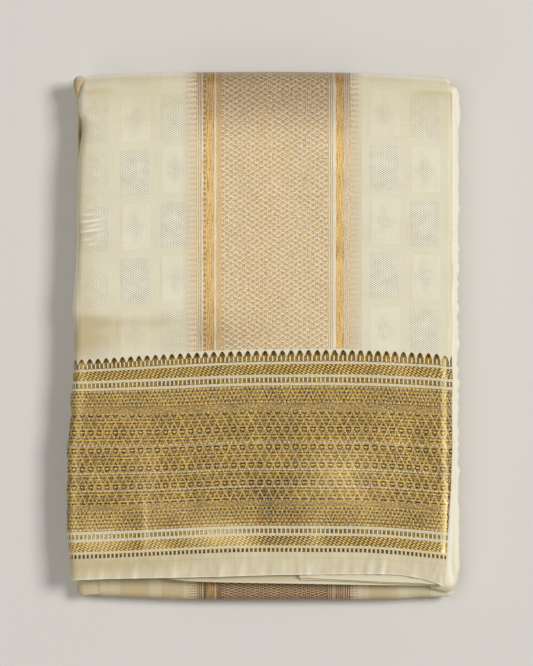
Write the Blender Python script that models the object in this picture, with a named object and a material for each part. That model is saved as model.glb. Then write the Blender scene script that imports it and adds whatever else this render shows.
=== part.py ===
"""A silk dhoti folded into a flat pack.

One woven length, unsewn, is folded selvedge to selvedge, then folded four times along its length,
and at last folded over at the far end. The pack lies on its underside: its free selvedge edge
faces -Y, its thick last fold faces +Y, and +Z is up. Units are metres.

The pack is a thick strap bent round the last fold. A place on it is given by a station on the
strap's way (upper half, turn, lower half), by x across the pack, and by n, the height off the
middle plane, which is measured outwards on both halves and round the turn.
"""

import math
from bisect import bisect_right
from collections import namedtuple

import bmesh
import bpy

# Cloth
WALL = 0.0010  # one modelled stretch of cloth, a few woven layers thick
GAP = 0.0003  # between one stretch and the next
CORE_DEPTH = WALL + GAP  # from a stretch's outer face to the layers under it

# Pack
MID = 0.0117  # height of the middle plane, where the two halves meet
SPLIT = MID / 2  # height off the middle plane at which the right side's two bundles part
EYE = 0.0009  # radius left open in the heart of the last fold
TURN_SQUASH = 0.85  # how far the last fold reaches, as a share of a round one
FREE_END = -0.1400  # nominal y of the free selvedge edge
CLOSED_END = -0.1550  # nominal y of the closed fold under it
TURN_START = 0.1450  # nominal y where the last fold begins

# Folded edges, which reach inwards from each side
LEFT_REACH = 0.0055  # one thick bundle in each half
RIGHT_REACH = 0.0030  # two thinner bundles in each half
LEFT_TUCK = -0.0965  # x where a stretch that runs on between two bundles ends
RIGHT_TUCK = 0.0985
END_RADIUS = 0.0030  # rounding of the closed end

# Resolution
EDGE_STEPS = 6
ACROSS_STEPS = 14
TURN_STEPS = 10
# Shares of each half's length where a section stands, from its end (0) towards the last fold (1)
UPPER_SHARES = (
    (0, 0.03, 0.06, 0.09, 0.14, 0.2, 0.27, 0.34, 0.41, 0.48)
    + (0.54, 0.6, 0.67, 0.74, 0.81, 0.88, 0.94, 0.98)
)
LOWER_SHARES = (0.9, 0.75, 0.6, 0.45, 0.3, 0.18, 0.1, 0.07, 0.035, 0.01)
END_STEPS = 3

# Edges of the pack. Columns: y, x
LEFT_UPPER = (
    (-0.1435, -0.1134),
    (-0.1200, -0.1146),
    (-0.1083, -0.1157),
    (-0.0730, -0.1157),
    (-0.0406, -0.1137),
    (-0.0142, -0.1117),
    (0.0035, -0.1113),
    (0.0276, -0.1121),
    (0.0446, -0.1102),
    (0.0799, -0.1099),
    (0.1270, -0.1098),
    (0.1405, -0.1087),
    (0.1450, -0.1076),
)
LEFT_LOWER = ((-0.1550, -0.1096), (-0.1480, -0.1093), (0.0, -0.1105), (0.1450, -0.1106))
RIGHT_UPPER = (
    (-0.1465, 0.1052),
    (-0.1260, 0.1073),
    (-0.1140, 0.1082),
    (-0.0900, 0.1097),
    (-0.0670, 0.1109),
    (0.1450, 0.1109),
)
RIGHT_LOWER = ((-0.1550, 0.1142), (-0.1420, 0.1156), (0.0, 0.1154), (0.1350, 0.1157), (0.1450, 0.1150))
INNER_UPPER = ((-0.1465, 0.1092), (-0.1100, 0.1112), (-0.0500, 0.1127), (0.1450, 0.1130))
INNER_LOWER = ((-0.1550, 0.1126), (-0.1420, 0.1148), (0.0, 0.1144), (0.1450, 0.1148))
# Round the last fold. Columns: turn in degrees, x
LEFT_TURN = ((0, -0.1076), (60, -0.1042), (90, -0.1036), (130, -0.1070), (180, -0.1106))
RIGHT_TURN = ((0, 0.1109), (50, 0.1098), (90, 0.1098), (180, 0.1150))
INNER_TURN = ((0, 0.1130), (90, 0.1138), (180, 0.1148))

# Ends of the pack. Columns: x, y
FREE_EDGE = (
    (-0.1134, -0.1435),
    (-0.0920, -0.1426),
    (-0.0373, -0.1415),
    (0.0215, -0.1400),
    (0.0686, -0.1397),
    (0.0768, -0.1400),
    (0.0927, -0.1424),
    (0.1050, -0.1465),
)
CLOSED_EDGE = (
    (-0.1093, -0.1495),
    (-0.1061, -0.1519),
    (-0.1000, -0.1511),
    (-0.0934, -0.1525),
    (-0.0608, -0.1539),
    (-0.0343, -0.1552),
    (0.0744, -0.1551),
    (0.0938, -0.1535),
    (0.1118, -0.1514),
    (0.1148, -0.1470),
)
TOP_EDGE = (
    (-0.1157, 0.1508),
    (-0.1000, 0.1531),
    (-0.0843, 0.1540),
    (-0.0396, 0.1549),
    (0.0056, 0.1552),
    (0.0509, 0.1546),
    (0.0803, 0.1532),
    (0.1085, 0.1516),
    (0.1157, 0.1496),
)

# Height that the upper half loses towards its sides and ends. Columns: x or y, height
ACROSS_FALL = (
    (-0.1120, 0.0012),
    (-0.0850, 0.0003),
    (-0.0400, 0.0),
    (0.0600, 0.0),
    (0.0900, 0.0004),
    (0.1100, 0.0009),
)
ALONG_FALL = ((-0.1450, 0.0007), (-0.1200, 0.0003), (-0.0600, 0.0), (0.1000, 0.0), (0.1450, 0.0004))

Swell = namedtuple("Swell", "x y turn half_length half_width height")
SWELLS = (
    Swell(-0.082, 0.0085, 0, 0.045, 0.010, -0.0005),
    Swell(-0.070, -0.0950, 70, 0.030, 0.013, 0.0006),
    Swell(-0.020, -0.1080, 80, 0.032, 0.016, 0.0005),
    Swell(0.038, -0.0850, 75, 0.045, 0.026, 0.0006),
    Swell(0.085, -0.0700, 85, 0.060, 0.014, -0.0004),
    Swell(-0.050, 0.0900, 85, 0.055, 0.020, 0.0004),
    Swell(0.060, 0.0700, 95, 0.060, 0.024, 0.0004),
)

# Inner selvedges under the free edge, in order from the top. Each edge's columns: x, y
SelvedgeLayer = namedtuple("SelvedgeLayer", "name left edge")
SELVEDGE_LAYERS = (
    SelvedgeLayer(
        "selvedge_layer_1",
        0.0212,
        ((0.0212, -0.1418), (0.0450, -0.1430), (0.0744, -0.1445), (0.0930, -0.1452), (0.1020, -0.1460)),
    ),
    SelvedgeLayer(
        "selvedge_layer_2",
        0.0218,
        ((0.0218, -0.1432), (0.0509, -0.1441), (0.0744, -0.1453), (0.0930, -0.1459), (0.1020, -0.1463)),
    ),
    SelvedgeLayer(
        "selvedge_layer_3",
        -0.0948,
        (
            (-0.0948, -0.1409),
            (-0.0640, -0.1419),
            (-0.0432, -0.1441),
            (-0.0138, -0.1450),
            (0.0215, -0.1456),
            (0.0744, -0.1465),
            (0.1020, -0.1468),
        ),
    ),
)
LAYER_DEPTH = 0.060  # share of the upper half's length that the inner selvedge layers run in
LAYER_RIGHT = 0.0940
SHELF_STEP = 0.0005  # past a tuck's slot, where the hidden layers' face starts to step down
SHELF_SLOPE = 0.0030
LEFT_SLOT = LEFT_TUCK + GAP
RIGHT_SLOT = RIGHT_TUCK - GAP
CORE_RELEASE = 0.09  # share of the length over which the hidden layers rise to full height

BOTTOM_FOLD_DEPTH = 0.070  # share of the lower half's length that the closed fold's sheet runs in
BOTTOM_FOLD_SEAT = 0.0002  # how much lower than needed the hidden layers lie under it

# Layers that show as ridges on the ends of the hidden layers
FREE_RIDGES = 4
FREE_RIDGE_DEPTH = 0.0014
CLOSED_RIDGES = 3
CLOSED_RIDGE_DEPTH = 0.0015
CORE_FREE_SHARE = 0.012  # where the hidden layers end under the free edge

# The fold corner at the top left
CORNER_BULGE = 0.0052
CORNER_SHARE = 0.98
CORNER_TURN = 78

SILK = (0.80, 0.74, 0.60, 1.0)
SHADED_SILK = (0.68, 0.60, 0.45, 1.0)

# A place along the strap: the half's share of length from its end (0) to the turn (1), the turn in
# degrees (0 on the upper half, 180 on the lower), and how far round the closed end it is (0 to 1)
Station = namedtuple("Station", "share turn rounding")


def smooth(table, at):
    """A value on a smooth curve through a table's rows, level where the rows turn back."""
    places = [row[0] for row in table]
    if at <= places[0]:
        return table[0][1]
    if at >= places[-1]:
        return table[-1][1]
    slopes = [(b[1] - a[1]) / (b[0] - a[0]) for a, b in zip(table, table[1:])]

    def slope_at(row):
        before, after = slopes[max(row - 1, 0)], slopes[min(row, len(slopes) - 1)]
        return 2 * before * after / (before + after) if before * after > 0 else 0.0

    row = bisect_right(places, at) - 1
    width = places[row + 1] - places[row]
    t = (at - places[row]) / width
    start, end = table[row][1], table[row + 1][1]
    return (
        (2 * t**3 - 3 * t**2 + 1) * start
        + (t**3 - 2 * t**2 + t) * width * slope_at(row)
        + (3 * t**2 - 2 * t**3) * end
        + (t**3 - t**2) * width * slope_at(row + 1)
    )


def mix(start, end, share):
    return start + (end - start) * share


def ease(share):
    share = min(max(share, 0.0), 1.0)
    return share * share * (3 - 2 * share)


def swell_height(x, y):
    """The broad folds that show on the upper face."""
    total = 0.0
    for swell in SWELLS:
        turn = math.radians(swell.turn)
        along = (x - swell.x) * math.cos(turn) + (y - swell.y) * math.sin(turn)
        across = (y - swell.y) * math.cos(turn) - (x - swell.x) * math.sin(turn)
        spread = (along / swell.half_length) ** 2 + (across / swell.half_width) ** 2
        total += swell.height * math.exp(-spread)
    return total


def upper_height(x, y):
    return MID - smooth(ACROSS_FALL, x) - smooth(ALONG_FALL, y) + swell_height(x, y)


def axis_y(x):
    """Where the last fold begins, so that its crown follows the pack's top edge."""
    return smooth(TOP_EDGE, x) - TURN_SQUASH * MID


def flat_y(station, x):
    edge = smooth(FREE_EDGE, x) if station.turn == 0 else smooth(CLOSED_EDGE, x) + END_RADIUS
    return mix(edge, axis_y(x), station.share)


def height(station, x):
    """Outer face's distance from the middle plane."""
    if station.turn == 0:
        return upper_height(x, flat_y(station, x))
    return mix(upper_height(x, axis_y(x)), MID, ease(station.turn / 180))


def place(station, x, n):
    """The point in space for a station, a place across and a height off the middle plane."""
    turn = math.radians(station.turn)
    back = END_RADIUS * math.sin(station.rounding * math.pi / 2)
    y = flat_y(station, x) if station.turn in (0, 180) else axis_y(x)
    rise = math.sin(turn) if station.turn not in (0, 180) else 0.0
    return (x, y + TURN_SQUASH * n * rise - back, MID + n * math.cos(turn))


def stations(first_share=0.0, last_share=0.0, rounded=False):
    """Stations from the free end, round the last fold, to the closed end."""
    shares = [first_share] + [share for share in UPPER_SHARES if share > first_share]
    way = [Station(share, 0, 0.0) for share in shares]
    way += [Station(1.0, 180 * step / TURN_STEPS, 0.0) for step in range(TURN_STEPS + 1)]
    way += [Station(share, 180, 0.0) for share in LOWER_SHARES if share > last_share]
    way.append(Station(last_share, 180, 0.0))
    if rounded:
        way += [Station(last_share, 180, (step + 1) / END_STEPS) for step in range(END_STEPS)]
    return way


def edge_x(station, upper, lower, turning):
    """x of a folded edge at a station, pulled in a little where the closed end rounds off."""
    if station.turn == 0:
        return smooth(upper, mix(FREE_END, TURN_START, station.share))
    if station.turn < 180:
        return smooth(turning, station.turn)
    return smooth(lower, mix(CLOSED_END, TURN_START, station.share))


def end_drop(station):
    return END_RADIUS * (1 - math.cos(station.rounding * math.pi / 2))


def left_x(station):
    return edge_x(station, LEFT_UPPER, LEFT_LOWER, LEFT_TURN) + end_drop(station) * 0.5


def right_x(station):
    return edge_x(station, RIGHT_UPPER, RIGHT_LOWER, RIGHT_TURN) - end_drop(station) * 0.5


def inner_right_x(station):
    return edge_x(station, INNER_UPPER, INNER_LOWER, INNER_TURN)


def low_height(station):
    """Distance of each half's inner face from the middle plane: half a gap, and the eye in the turn."""
    return GAP / 2 + EYE * math.sin(math.radians(station.turn)) ** 2


def folded_edge(edge, reach, low, high, depth, inward):
    """Points round one folded edge, high face to low. inward is 1 at the left edge and -1 at the right."""
    points = []
    for step in range(EDGE_STEPS + 1):
        angle = math.pi * step / EDGE_STEPS
        x = edge + inward * (reach - (reach - depth) * math.sin(angle))
        n = (low + high) / 2 + ((high - low) / 2 - depth) * math.cos(angle)
        points.append((x, n))
    return points


def across(station, depth):
    """Points across a stretch's flat face, from its right folded edge to its left one."""
    start, end = right_x(station) - RIGHT_REACH, left_x(station) + LEFT_REACH
    shelf = RIGHT_SLOT - SHELF_STEP
    spread = ACROSS_STEPS - 3
    places = [start, shelf]
    places += [mix(shelf - SHELF_SLOPE, LEFT_SLOT + SHELF_STEP, step / spread) for step in range(spread + 1)]
    places += [end]
    return [(x, height(station, x) - end_drop(station) - depth) for x in places]


def outer_section(station, depth):
    """The outermost stretch's section, from its tuck at the right to its tuck at the left."""
    flat = across(station, depth)
    right_edge = folded_edge(
        right_x(station), RIGHT_REACH, SPLIT + GAP / 2, flat[0][1] + depth, depth, -1
    )
    left_edge = folded_edge(left_x(station), LEFT_REACH, low_height(station), flat[-1][1] + depth, depth, 1)
    right_tuck = (RIGHT_TUCK, right_edge[-1][1])
    left_tuck = (LEFT_TUCK, left_edge[-1][1])
    return [right_tuck] + right_edge[::-1] + flat[1:-1] + left_edge + [left_tuck]


def inner_section(station, depth):
    """The second bundle's stretch at the right: out, round its folded edge and back."""
    edge = folded_edge(
        inner_right_x(station), RIGHT_REACH, low_height(station), SPLIT - GAP / 2, depth, -1
    )
    return [(RIGHT_TUCK, edge[0][1])] + edge + [(RIGHT_TUCK, edge[-1][1])]


def layers_drop(station):
    """How much lower the hidden layers lie under the inner selvedge layers, near the free edge."""
    if station.turn != 0:
        return 0.0
    rise = ease((station.share - LAYER_DEPTH) / (CORE_RELEASE - LAYER_DEPTH))
    return len(SELVEDGE_LAYERS) * CORE_DEPTH * (1 - rise)


def core_face(station):
    """The hidden layers' outer face, stepped down between the two sides' tucks."""
    flat = across(station, CORE_DEPTH)
    return flat[:2] + [(x, n - layers_drop(station)) for x, n in flat[2:-1]] + flat[-1:]


def core_section(station):
    """Closed section of the hidden layers, with tongues inside the bundles and slots for the tucks."""
    low = low_height(station)
    flat = core_face(station)
    inner_face = low
    if station.turn == 180 and station.share < BOTTOM_FOLD_DEPTH + 0.02:
        inner_face = low + CORE_DEPTH + BOTTOM_FOLD_SEAT
    left_edge = folded_edge(left_x(station), LEFT_REACH, low, flat[-1][1] + CORE_DEPTH, CORE_DEPTH, 1)
    upper_tongue = folded_edge(
        right_x(station), RIGHT_REACH, SPLIT + GAP / 2, flat[0][1] + CORE_DEPTH, CORE_DEPTH, -1
    )
    lower_tongue = folded_edge(inner_right_x(station), RIGHT_REACH, low, SPLIT - GAP / 2, CORE_DEPTH, -1)
    places = [LEFT_SLOT] + [x for x, _ in flat[-2:0:-1]] + [RIGHT_SLOT]
    rest = left_edge[1:]
    rest += [(LEFT_SLOT, left_edge[-1][1])]
    rest += [(x, inner_face) for x in places]
    rest += [(RIGHT_SLOT, lower_tongue[-1][1])]
    rest += lower_tongue[::-1]
    rest += [(RIGHT_SLOT, lower_tongue[0][1]), (RIGHT_SLOT, upper_tongue[-1][1])]
    rest += upper_tongue[::-1][:-1]
    return flat + rest


def loft(name, colour, outer, inner):
    """A cloth wall between two grids of points, closed round its rim."""
    rows, columns = len(outer), len(outer[0])
    mesh = bpy.data.meshes.new(name)
    bm = bmesh.new()
    faces = [[[bm.verts.new(point) for point in row] for row in grid] for grid in (outer, inner)]
    top, under = faces
    for i in range(rows - 1):
        for j in range(columns - 1):
            bm.faces.new((top[i][j], top[i][j + 1], top[i + 1][j + 1], top[i + 1][j]))
            bm.faces.new((under[i][j], under[i + 1][j], under[i + 1][j + 1], under[i][j + 1]))
    for i in range(rows - 1):
        for j in (0, columns - 1):
            bm.faces.new((top[i][j], top[i + 1][j], under[i + 1][j], under[i][j]))
    for j in range(columns - 1):
        for i in (0, rows - 1):
            bm.faces.new((top[i][j], under[i][j], under[i][j + 1], top[i][j + 1]))
    return finish(name, mesh, bm, colour)


def finish(name, mesh, bm, colour):
    bmesh.ops.recalc_face_normals(bm, faces=bm.faces)
    bm.to_mesh(mesh)
    bm.free()
    mesh.shade_smooth()
    mesh.set_sharp_from_angle(angle=math.radians(50))
    material = bpy.data.materials.new(name)
    material.use_nodes = True
    shader = material.node_tree.nodes["Principled BSDF"]
    shader.inputs["Base Color"].default_value = colour
    shader.inputs["Roughness"].default_value = 0.55
    shader.inputs["Metallic"].default_value = 0.0
    mesh.materials.append(material)
    piece = bpy.data.objects.new(name, mesh)
    bpy.context.scene.collection.objects.link(piece)
    return piece


def swept_wall(name, colour, way, section):
    """A wall with one section carried along the strap's way. Round the closed end it turns with the cloth."""
    outer = [[place(station, x, n) for x, n in section(station, 0.0)] for station in way]
    inner = []
    for station in way:
        angle = station.rounding * math.pi / 2
        back, lift = WALL * math.sin(angle), WALL * (1 - math.cos(angle))
        points = [place(station, x, n) for x, n in section(station, WALL)]
        inner.append([(x, y + back, z - lift) for x, y, z in points])
    return loft(name, colour, outer, inner)


def make_outer_sheet():
    return swept_wall("outer_sheet", SILK, stations(rounded=True), outer_section)


def make_inner_fold():
    return swept_wall("inner_fold", SILK, stations(first_share=0.006), inner_section)


def ridge(level, levels, ridges, depth):
    """How far a layer's edge stands out on the end of the hidden layers."""
    return depth * (0.5 - 0.5 * math.cos(2 * math.pi * ridges * level / levels))


def make_hidden_layers():
    """All the layers that don't show, as one solid folded round the last fold."""
    name = "hidden_layers"
    mesh = bpy.data.meshes.new(name)
    bm = bmesh.new()
    way = stations(first_share=CORE_FREE_SHARE)
    rings = []
    for station in way:
        rings.append([bm.verts.new(place(station, x, n)) for x, n in core_section(station)])
    count = len(rings[0])
    for ring, following in zip(rings, rings[1:]):
        for j in range(count):
            k = (j + 1) % count
            bm.faces.new((ring[j], ring[k], following[k], following[j]))
    layered_end(bm, rings[0], FREE_RIDGES, FREE_RIDGE_DEPTH)
    layered_end(bm, rings[-1], CLOSED_RIDGES, CLOSED_RIDGE_DEPTH)
    return finish(name, mesh, bm, SHADED_SILK)


def layered_end(bm, ring, ridges, depth):
    """Closes one end with ridges across it, plain at its two sides."""
    levels = 2 * ridges
    inner_start = ACROSS_STEPS + EDGE_STEPS + 2
    columns = []
    for step in range(1, ACROSS_STEPS):
        outer = ring[ACROSS_STEPS - step]
        inner = ring[inner_start + step]
        full = 0.0 if step in (1, ACROSS_STEPS - 1) else 1.0
        column = [outer]
        for level in range(1, levels):
            point = outer.co.lerp(inner.co, level / levels)
            point.y -= full * ridge(level, levels, ridges, depth)
            column.append(bm.verts.new(point))
        column.append(inner)
        columns.append(column)
    for near, far in zip(columns, columns[1:]):
        for level in range(levels):
            bm.faces.new((near[level], far[level], far[level + 1], near[level + 1]))
    left_side = ring[ACROSS_STEPS - 1 : inner_start + 2]
    bm.faces.new(left_side + columns[0][levels - 1 : 0 : -1])
    right_side = ring[inner_start + ACROSS_STEPS - 1 :] + ring[:2]
    bm.faces.new(right_side + columns[-1][1:levels])


def make_bottom_fold():
    """The sheet on top of the lower half, which turns down over its closed end."""
    shares = [BOTTOM_FOLD_DEPTH, BOTTOM_FOLD_DEPTH / 2, 0.01, 0.0]
    way = [Station(share, 180, 0.0) for share in shares]
    way += [Station(0.0, 180, (step + 1) / END_STEPS) for step in range(END_STEPS)]
    grids = []
    for depth in (0.0, WALL):
        grid = []
        for station in way:
            start, end = LEFT_TUCK + GAP, RIGHT_TUCK - GAP
            angle = station.rounding * math.pi / 2
            row = []
            for step in range(ACROSS_STEPS + 1):
                x = mix(start, end, step / ACROSS_STEPS)
                radius = END_RADIUS - depth
                y = flat_y(station, x) - radius * math.sin(angle)
                n = low_height(station) + END_RADIUS - radius * math.cos(angle)
                row.append((x, y, MID - n))
            grid.append(row)
        grids.append(grid)
    return loft("bottom_fold", SHADED_SILK, *grids)


def make_selvedge_layers():
    """Edges of inner layers that reach out past the free edge."""
    for order, layer in enumerate(SELVEDGE_LAYERS, start=1):
        grids = []
        for depth in (order * CORE_DEPTH, order * CORE_DEPTH + WALL):
            grid = []
            for share in (0.0, 0.3, 0.6, 1.0):
                row = []
                for step in range(ACROSS_STEPS + 1):
                    x = mix(layer.left, LAYER_RIGHT, step / ACROSS_STEPS)
                    inside = flat_y(Station(LAYER_DEPTH, 0, 0.0), x)
                    y = mix(smooth(layer.edge, x), inside, share)
                    row.append((x, y, MID + upper_height(x, max(y, flat_y(Station(0.0, 0, 0.0), x))) - depth))
                grid.append(row)
            grids.append(grid)
        loft(layer.name, SILK, *grids)


def make_corner_fold():
    """The fold corner at the top left, laid against the outer stretch and swelling out from it."""
    way = [Station(CORNER_SHARE, 0, 0.0)]
    way += [station for station in stations() if station.share == 1.0 and station.turn <= CORNER_TURN]
    first = 1 + EDGE_STEPS + ACROSS_STEPS
    columns = EDGE_STEPS - 1  # the folded edge without its last steps, which run on to the tuck
    grids = []
    for lift, bulge in ((GAP, 0.0), (GAP + WALL / 2, CORNER_BULGE)):
        grid = []
        for i, station in enumerate(way):
            section = outer_section(station, -lift)[first : first + columns]
            row = []
            for j, (x, n) in enumerate(section):
                share = math.sin(math.pi * i / (len(way) - 1)) * math.sin(math.pi * j / (columns - 1))
                row.append(place(station, x - bulge * share**0.7, n))
            grid.append(row)
        grids.append(grid)
    return loft("corner_fold", SILK, grids[1], grids[0])


def clear_scene():
    for thing in list(bpy.data.objects):
        bpy.data.objects.remove(thing)


def main():
    clear_scene()
    make_hidden_layers()
    make_outer_sheet()
    make_inner_fold()
    make_bottom_fold()
    make_selvedge_layers()
    make_corner_fold()


main()
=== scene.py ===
"""Looks of a silk dhoti folded into a flat pack.

The cloth is cream silk with self-coloured checks, a broad zari border along its free selvedge and
a band of zari brocade across it. The pack is a thick strap bent round its last fold, as the frame
holds it. A place on it is given by a station on the strap's way (upper half, turn, lower half), by
x across the pack and by n, the height off the middle plane. The frame is in metres. Cloth
coordinates, which the weave follows, are in millimetres: u across the pack, v down from the tips
of the border's temple row towards the selvedge, and minus v up the cloth and round the fold.
"""

import math
import random
from collections import namedtuple

import bpy
import numpy as np
from bpy.props import FloatProperty, FloatVectorProperty, PointerProperty
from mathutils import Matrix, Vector


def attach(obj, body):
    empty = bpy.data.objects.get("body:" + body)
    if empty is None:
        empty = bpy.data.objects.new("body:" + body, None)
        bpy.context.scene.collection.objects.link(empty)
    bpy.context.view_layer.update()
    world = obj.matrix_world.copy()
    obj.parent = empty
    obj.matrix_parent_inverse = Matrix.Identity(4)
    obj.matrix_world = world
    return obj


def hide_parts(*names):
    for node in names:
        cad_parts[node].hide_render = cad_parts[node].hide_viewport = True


bl_info = {
    "name": "Folded silk dhoti",
    "version": (1, 0, 0),
    "blender": (4, 5, 0),
    "location": "3D View > Sidebar > Dhoti",
    "description": "Dresses a folded silk dhoti with its woven border, brocade band and layered edges",
    "category": "Object",
}

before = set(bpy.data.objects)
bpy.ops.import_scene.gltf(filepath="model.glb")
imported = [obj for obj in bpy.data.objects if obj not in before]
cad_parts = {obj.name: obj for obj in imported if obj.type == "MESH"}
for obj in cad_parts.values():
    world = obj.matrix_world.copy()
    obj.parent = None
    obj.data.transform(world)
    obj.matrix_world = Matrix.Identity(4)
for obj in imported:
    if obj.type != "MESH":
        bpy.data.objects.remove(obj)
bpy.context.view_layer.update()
BODY = "root"
MM = 0.001

# Form of the pack, as in its frame (metres)
STEP = 0.0013  # from a stretch's outer face to the layers under it
GAP = 0.0003
MID = 0.0117
SPLIT = MID / 2
EYE = 0.0009
TURN_SQUASH = 0.85
FREE_END = -0.1400
CLOSED_END = -0.1550
TURN_START = 0.1450
LEFT_REACH = 0.0055
RIGHT_REACH = 0.0030
LEFT_TUCK = -0.0965
RIGHT_TUCK = 0.0985
LEFT_SLOT = LEFT_TUCK + GAP
RIGHT_SLOT = RIGHT_TUCK - GAP
END_RADIUS = 0.0030
GROOVE = 0.00055
GROOVE_WIDTH = 0.13  # half width, in radians round the edge
UPPER_RIPPLE = 0.0009
LOWER_RIPPLE = 0.0016
LAYER_RIPPLE = 0.0011
INNER_SHIFT = 0.007  # so that the second bundle's grooves wander otherwise
RIPPLE_WAVES = 9
HALF_LENGTH = 0.285  # down each half of the strap, roughly
TURN_LENGTH = 0.03
LAYER_DEPTH = 0.060
LAYER_RIGHT = 0.0940
LAYER_CORNER = 0.1030
CORE_RELEASE = 0.09
SHELF_STEP = 0.0005
SHELF_SLOPE = 0.0030
FOLD_SHEET_DEPTH = 0.070
FOLD_SHEET_SEAT = 0.0002

# Edges of the pack. Columns: y, x
LEFT_UPPER = (
    (-0.1435, -0.1134), (-0.1200, -0.1146), (-0.1083, -0.1157), (-0.0730, -0.1157),
    (-0.0406, -0.1137), (-0.0142, -0.1117), (0.0035, -0.1113), (0.0276, -0.1121), (0.0446, -0.1102),
    (0.0799, -0.1099), (0.0887, -0.1096), (0.1005, -0.1091), (0.1064, -0.1087), (0.1122, -0.1081),
    (0.1181, -0.1073), (0.1240, -0.1066), (0.1287, -0.1065), (0.1311, -0.1078), (0.1334, -0.1085),
    (0.1393, -0.1087), (0.1450, -0.1083),
)
LEFT_LOWER = (
    (-0.1550, -0.1106), (-0.1480, -0.1106), (-0.1300, -0.1108), (0.0, -0.1105), (0.1450, -0.1106),
)
RIGHT_UPPER = (
    (-0.1465, 0.1052), (-0.1260, 0.1073), (-0.1140, 0.1082), (-0.0900, 0.1097), (-0.0670, 0.1109),
    (0.1450, 0.1109),
)
RIGHT_LOWER = (
    (-0.1550, 0.1104), (-0.1500, 0.1122), (-0.1420, 0.1138), (-0.1200, 0.1150), (0.0, 0.1151),
    (0.1350, 0.1149), (0.1450, 0.1150),
)
INNER_UPPER = ((-0.1465, 0.1092), (-0.1100, 0.1112), (-0.0500, 0.1127), (0.1450, 0.1130))
INNER_LOWER = (
    (-0.1550, 0.1115), (-0.1530, 0.1124), (-0.1509, 0.1137), (-0.1485, 0.1148), (-0.1456, 0.1142),
    (-0.1435, 0.1157), (-0.1388, 0.1151), (-0.1100, 0.1148), (0.0, 0.1144), (0.0927, 0.1148),
    (0.1016, 0.1150), (0.1053, 0.1142), (0.1105, 0.1147), (0.1239, 0.1144), (0.1321, 0.1155),
    (0.1376, 0.1156), (0.1410, 0.1148), (0.1450, 0.1151),
)
# Round the last fold. Columns: turn in degrees, x
LEFT_TURN = (
    (0, -0.1083), (14, -0.1082), (32, -0.1077), (53, -0.1067), (72, -0.1054), (90, -0.1044),
    (130, -0.1055), (180, -0.1106),
)
RIGHT_TURN = ((0, 0.1109), (50, 0.1098), (90, 0.1098), (180, 0.1150))
INNER_TURN = ((0, 0.1130), (90, 0.1142), (140, 0.1149), (180, 0.1151))

# Ends of the pack. Columns: x, y
FREE_EDGE = (
    (-0.1134, -0.1435), (-0.0920, -0.1426), (-0.0373, -0.1415), (0.0215, -0.1400),
    (0.0686, -0.1397), (0.0768, -0.1400), (0.0927, -0.1424), (0.1050, -0.1465),
)
CLOSED_EDGE = (
    (-0.1106, -0.1492), (-0.1096, -0.1518), (-0.1056, -0.1530), (-0.0997, -0.1516),
    (-0.0940, -0.1527), (-0.0608, -0.1543), (-0.0343, -0.1551), (0.0744, -0.1549),
    (0.0938, -0.1537), (0.1118, -0.1531), (0.1148, -0.1505),
)
TOP_EDGE = (
    (-0.1157, 0.1515), (-0.1000, 0.1538), (-0.0843, 0.1547), (-0.0396, 0.1556), (0.0056, 0.1559),
    (0.0509, 0.1553), (0.0803, 0.1539), (0.1085, 0.1523), (0.1157, 0.1503),
)
# Height that the upper half loses towards its sides and ends. Columns: x or y, height
ACROSS_FALL = (
    (-0.1120, 0.0012), (-0.0850, 0.0003), (-0.0400, 0.0), (0.0600, 0.0), (0.0900, 0.0004),
    (0.1100, 0.0009),
)
ALONG_FALL = ((-0.1450, 0.0007), (-0.1200, 0.0003), (-0.0600, 0.0), (0.1000, 0.0), (0.1450, 0.0004))
# The ear at the top left. Columns: y, x of its outer side, half its width, half its height
EAR = (
    (0.1394, -0.1089, 0.0006, 0.0008), (0.1414, -0.1099, 0.0014, 0.0020),
    (0.1434, -0.1108, 0.0021, 0.0027), (0.1458, -0.1115, 0.0026, 0.0032),
    (0.1482, -0.1119, 0.0036, 0.0034), (0.1503, -0.1117, 0.0040, 0.0031),
    (0.1517, -0.1109, 0.0034, 0.0025), (0.1525, -0.1099, 0.0023, 0.0016),
    (0.1529, -0.1084, 0.0007, 0.0006),
)
EAR_LEVEL = 0.0162
EAR_STEPS = 34
# Free edges of the inner selvedges, from the top one down. Columns: x, y
SELVEDGE_EDGES = (
    ((0.0212, -0.1418), (0.0450, -0.1430), (0.0744, -0.1445), (0.0930, -0.1452), (0.1020, -0.1460)),
    ((0.0218, -0.1432), (0.0509, -0.1441), (0.0744, -0.1453), (0.0930, -0.1459), (0.1020, -0.1463)),
    (
        (-0.0948, -0.1409), (-0.0640, -0.1419), (-0.0432, -0.1441), (-0.0138, -0.1450),
        (0.0215, -0.1456), (0.0744, -0.1465), (0.1020, -0.1468),
    ),
)

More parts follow.
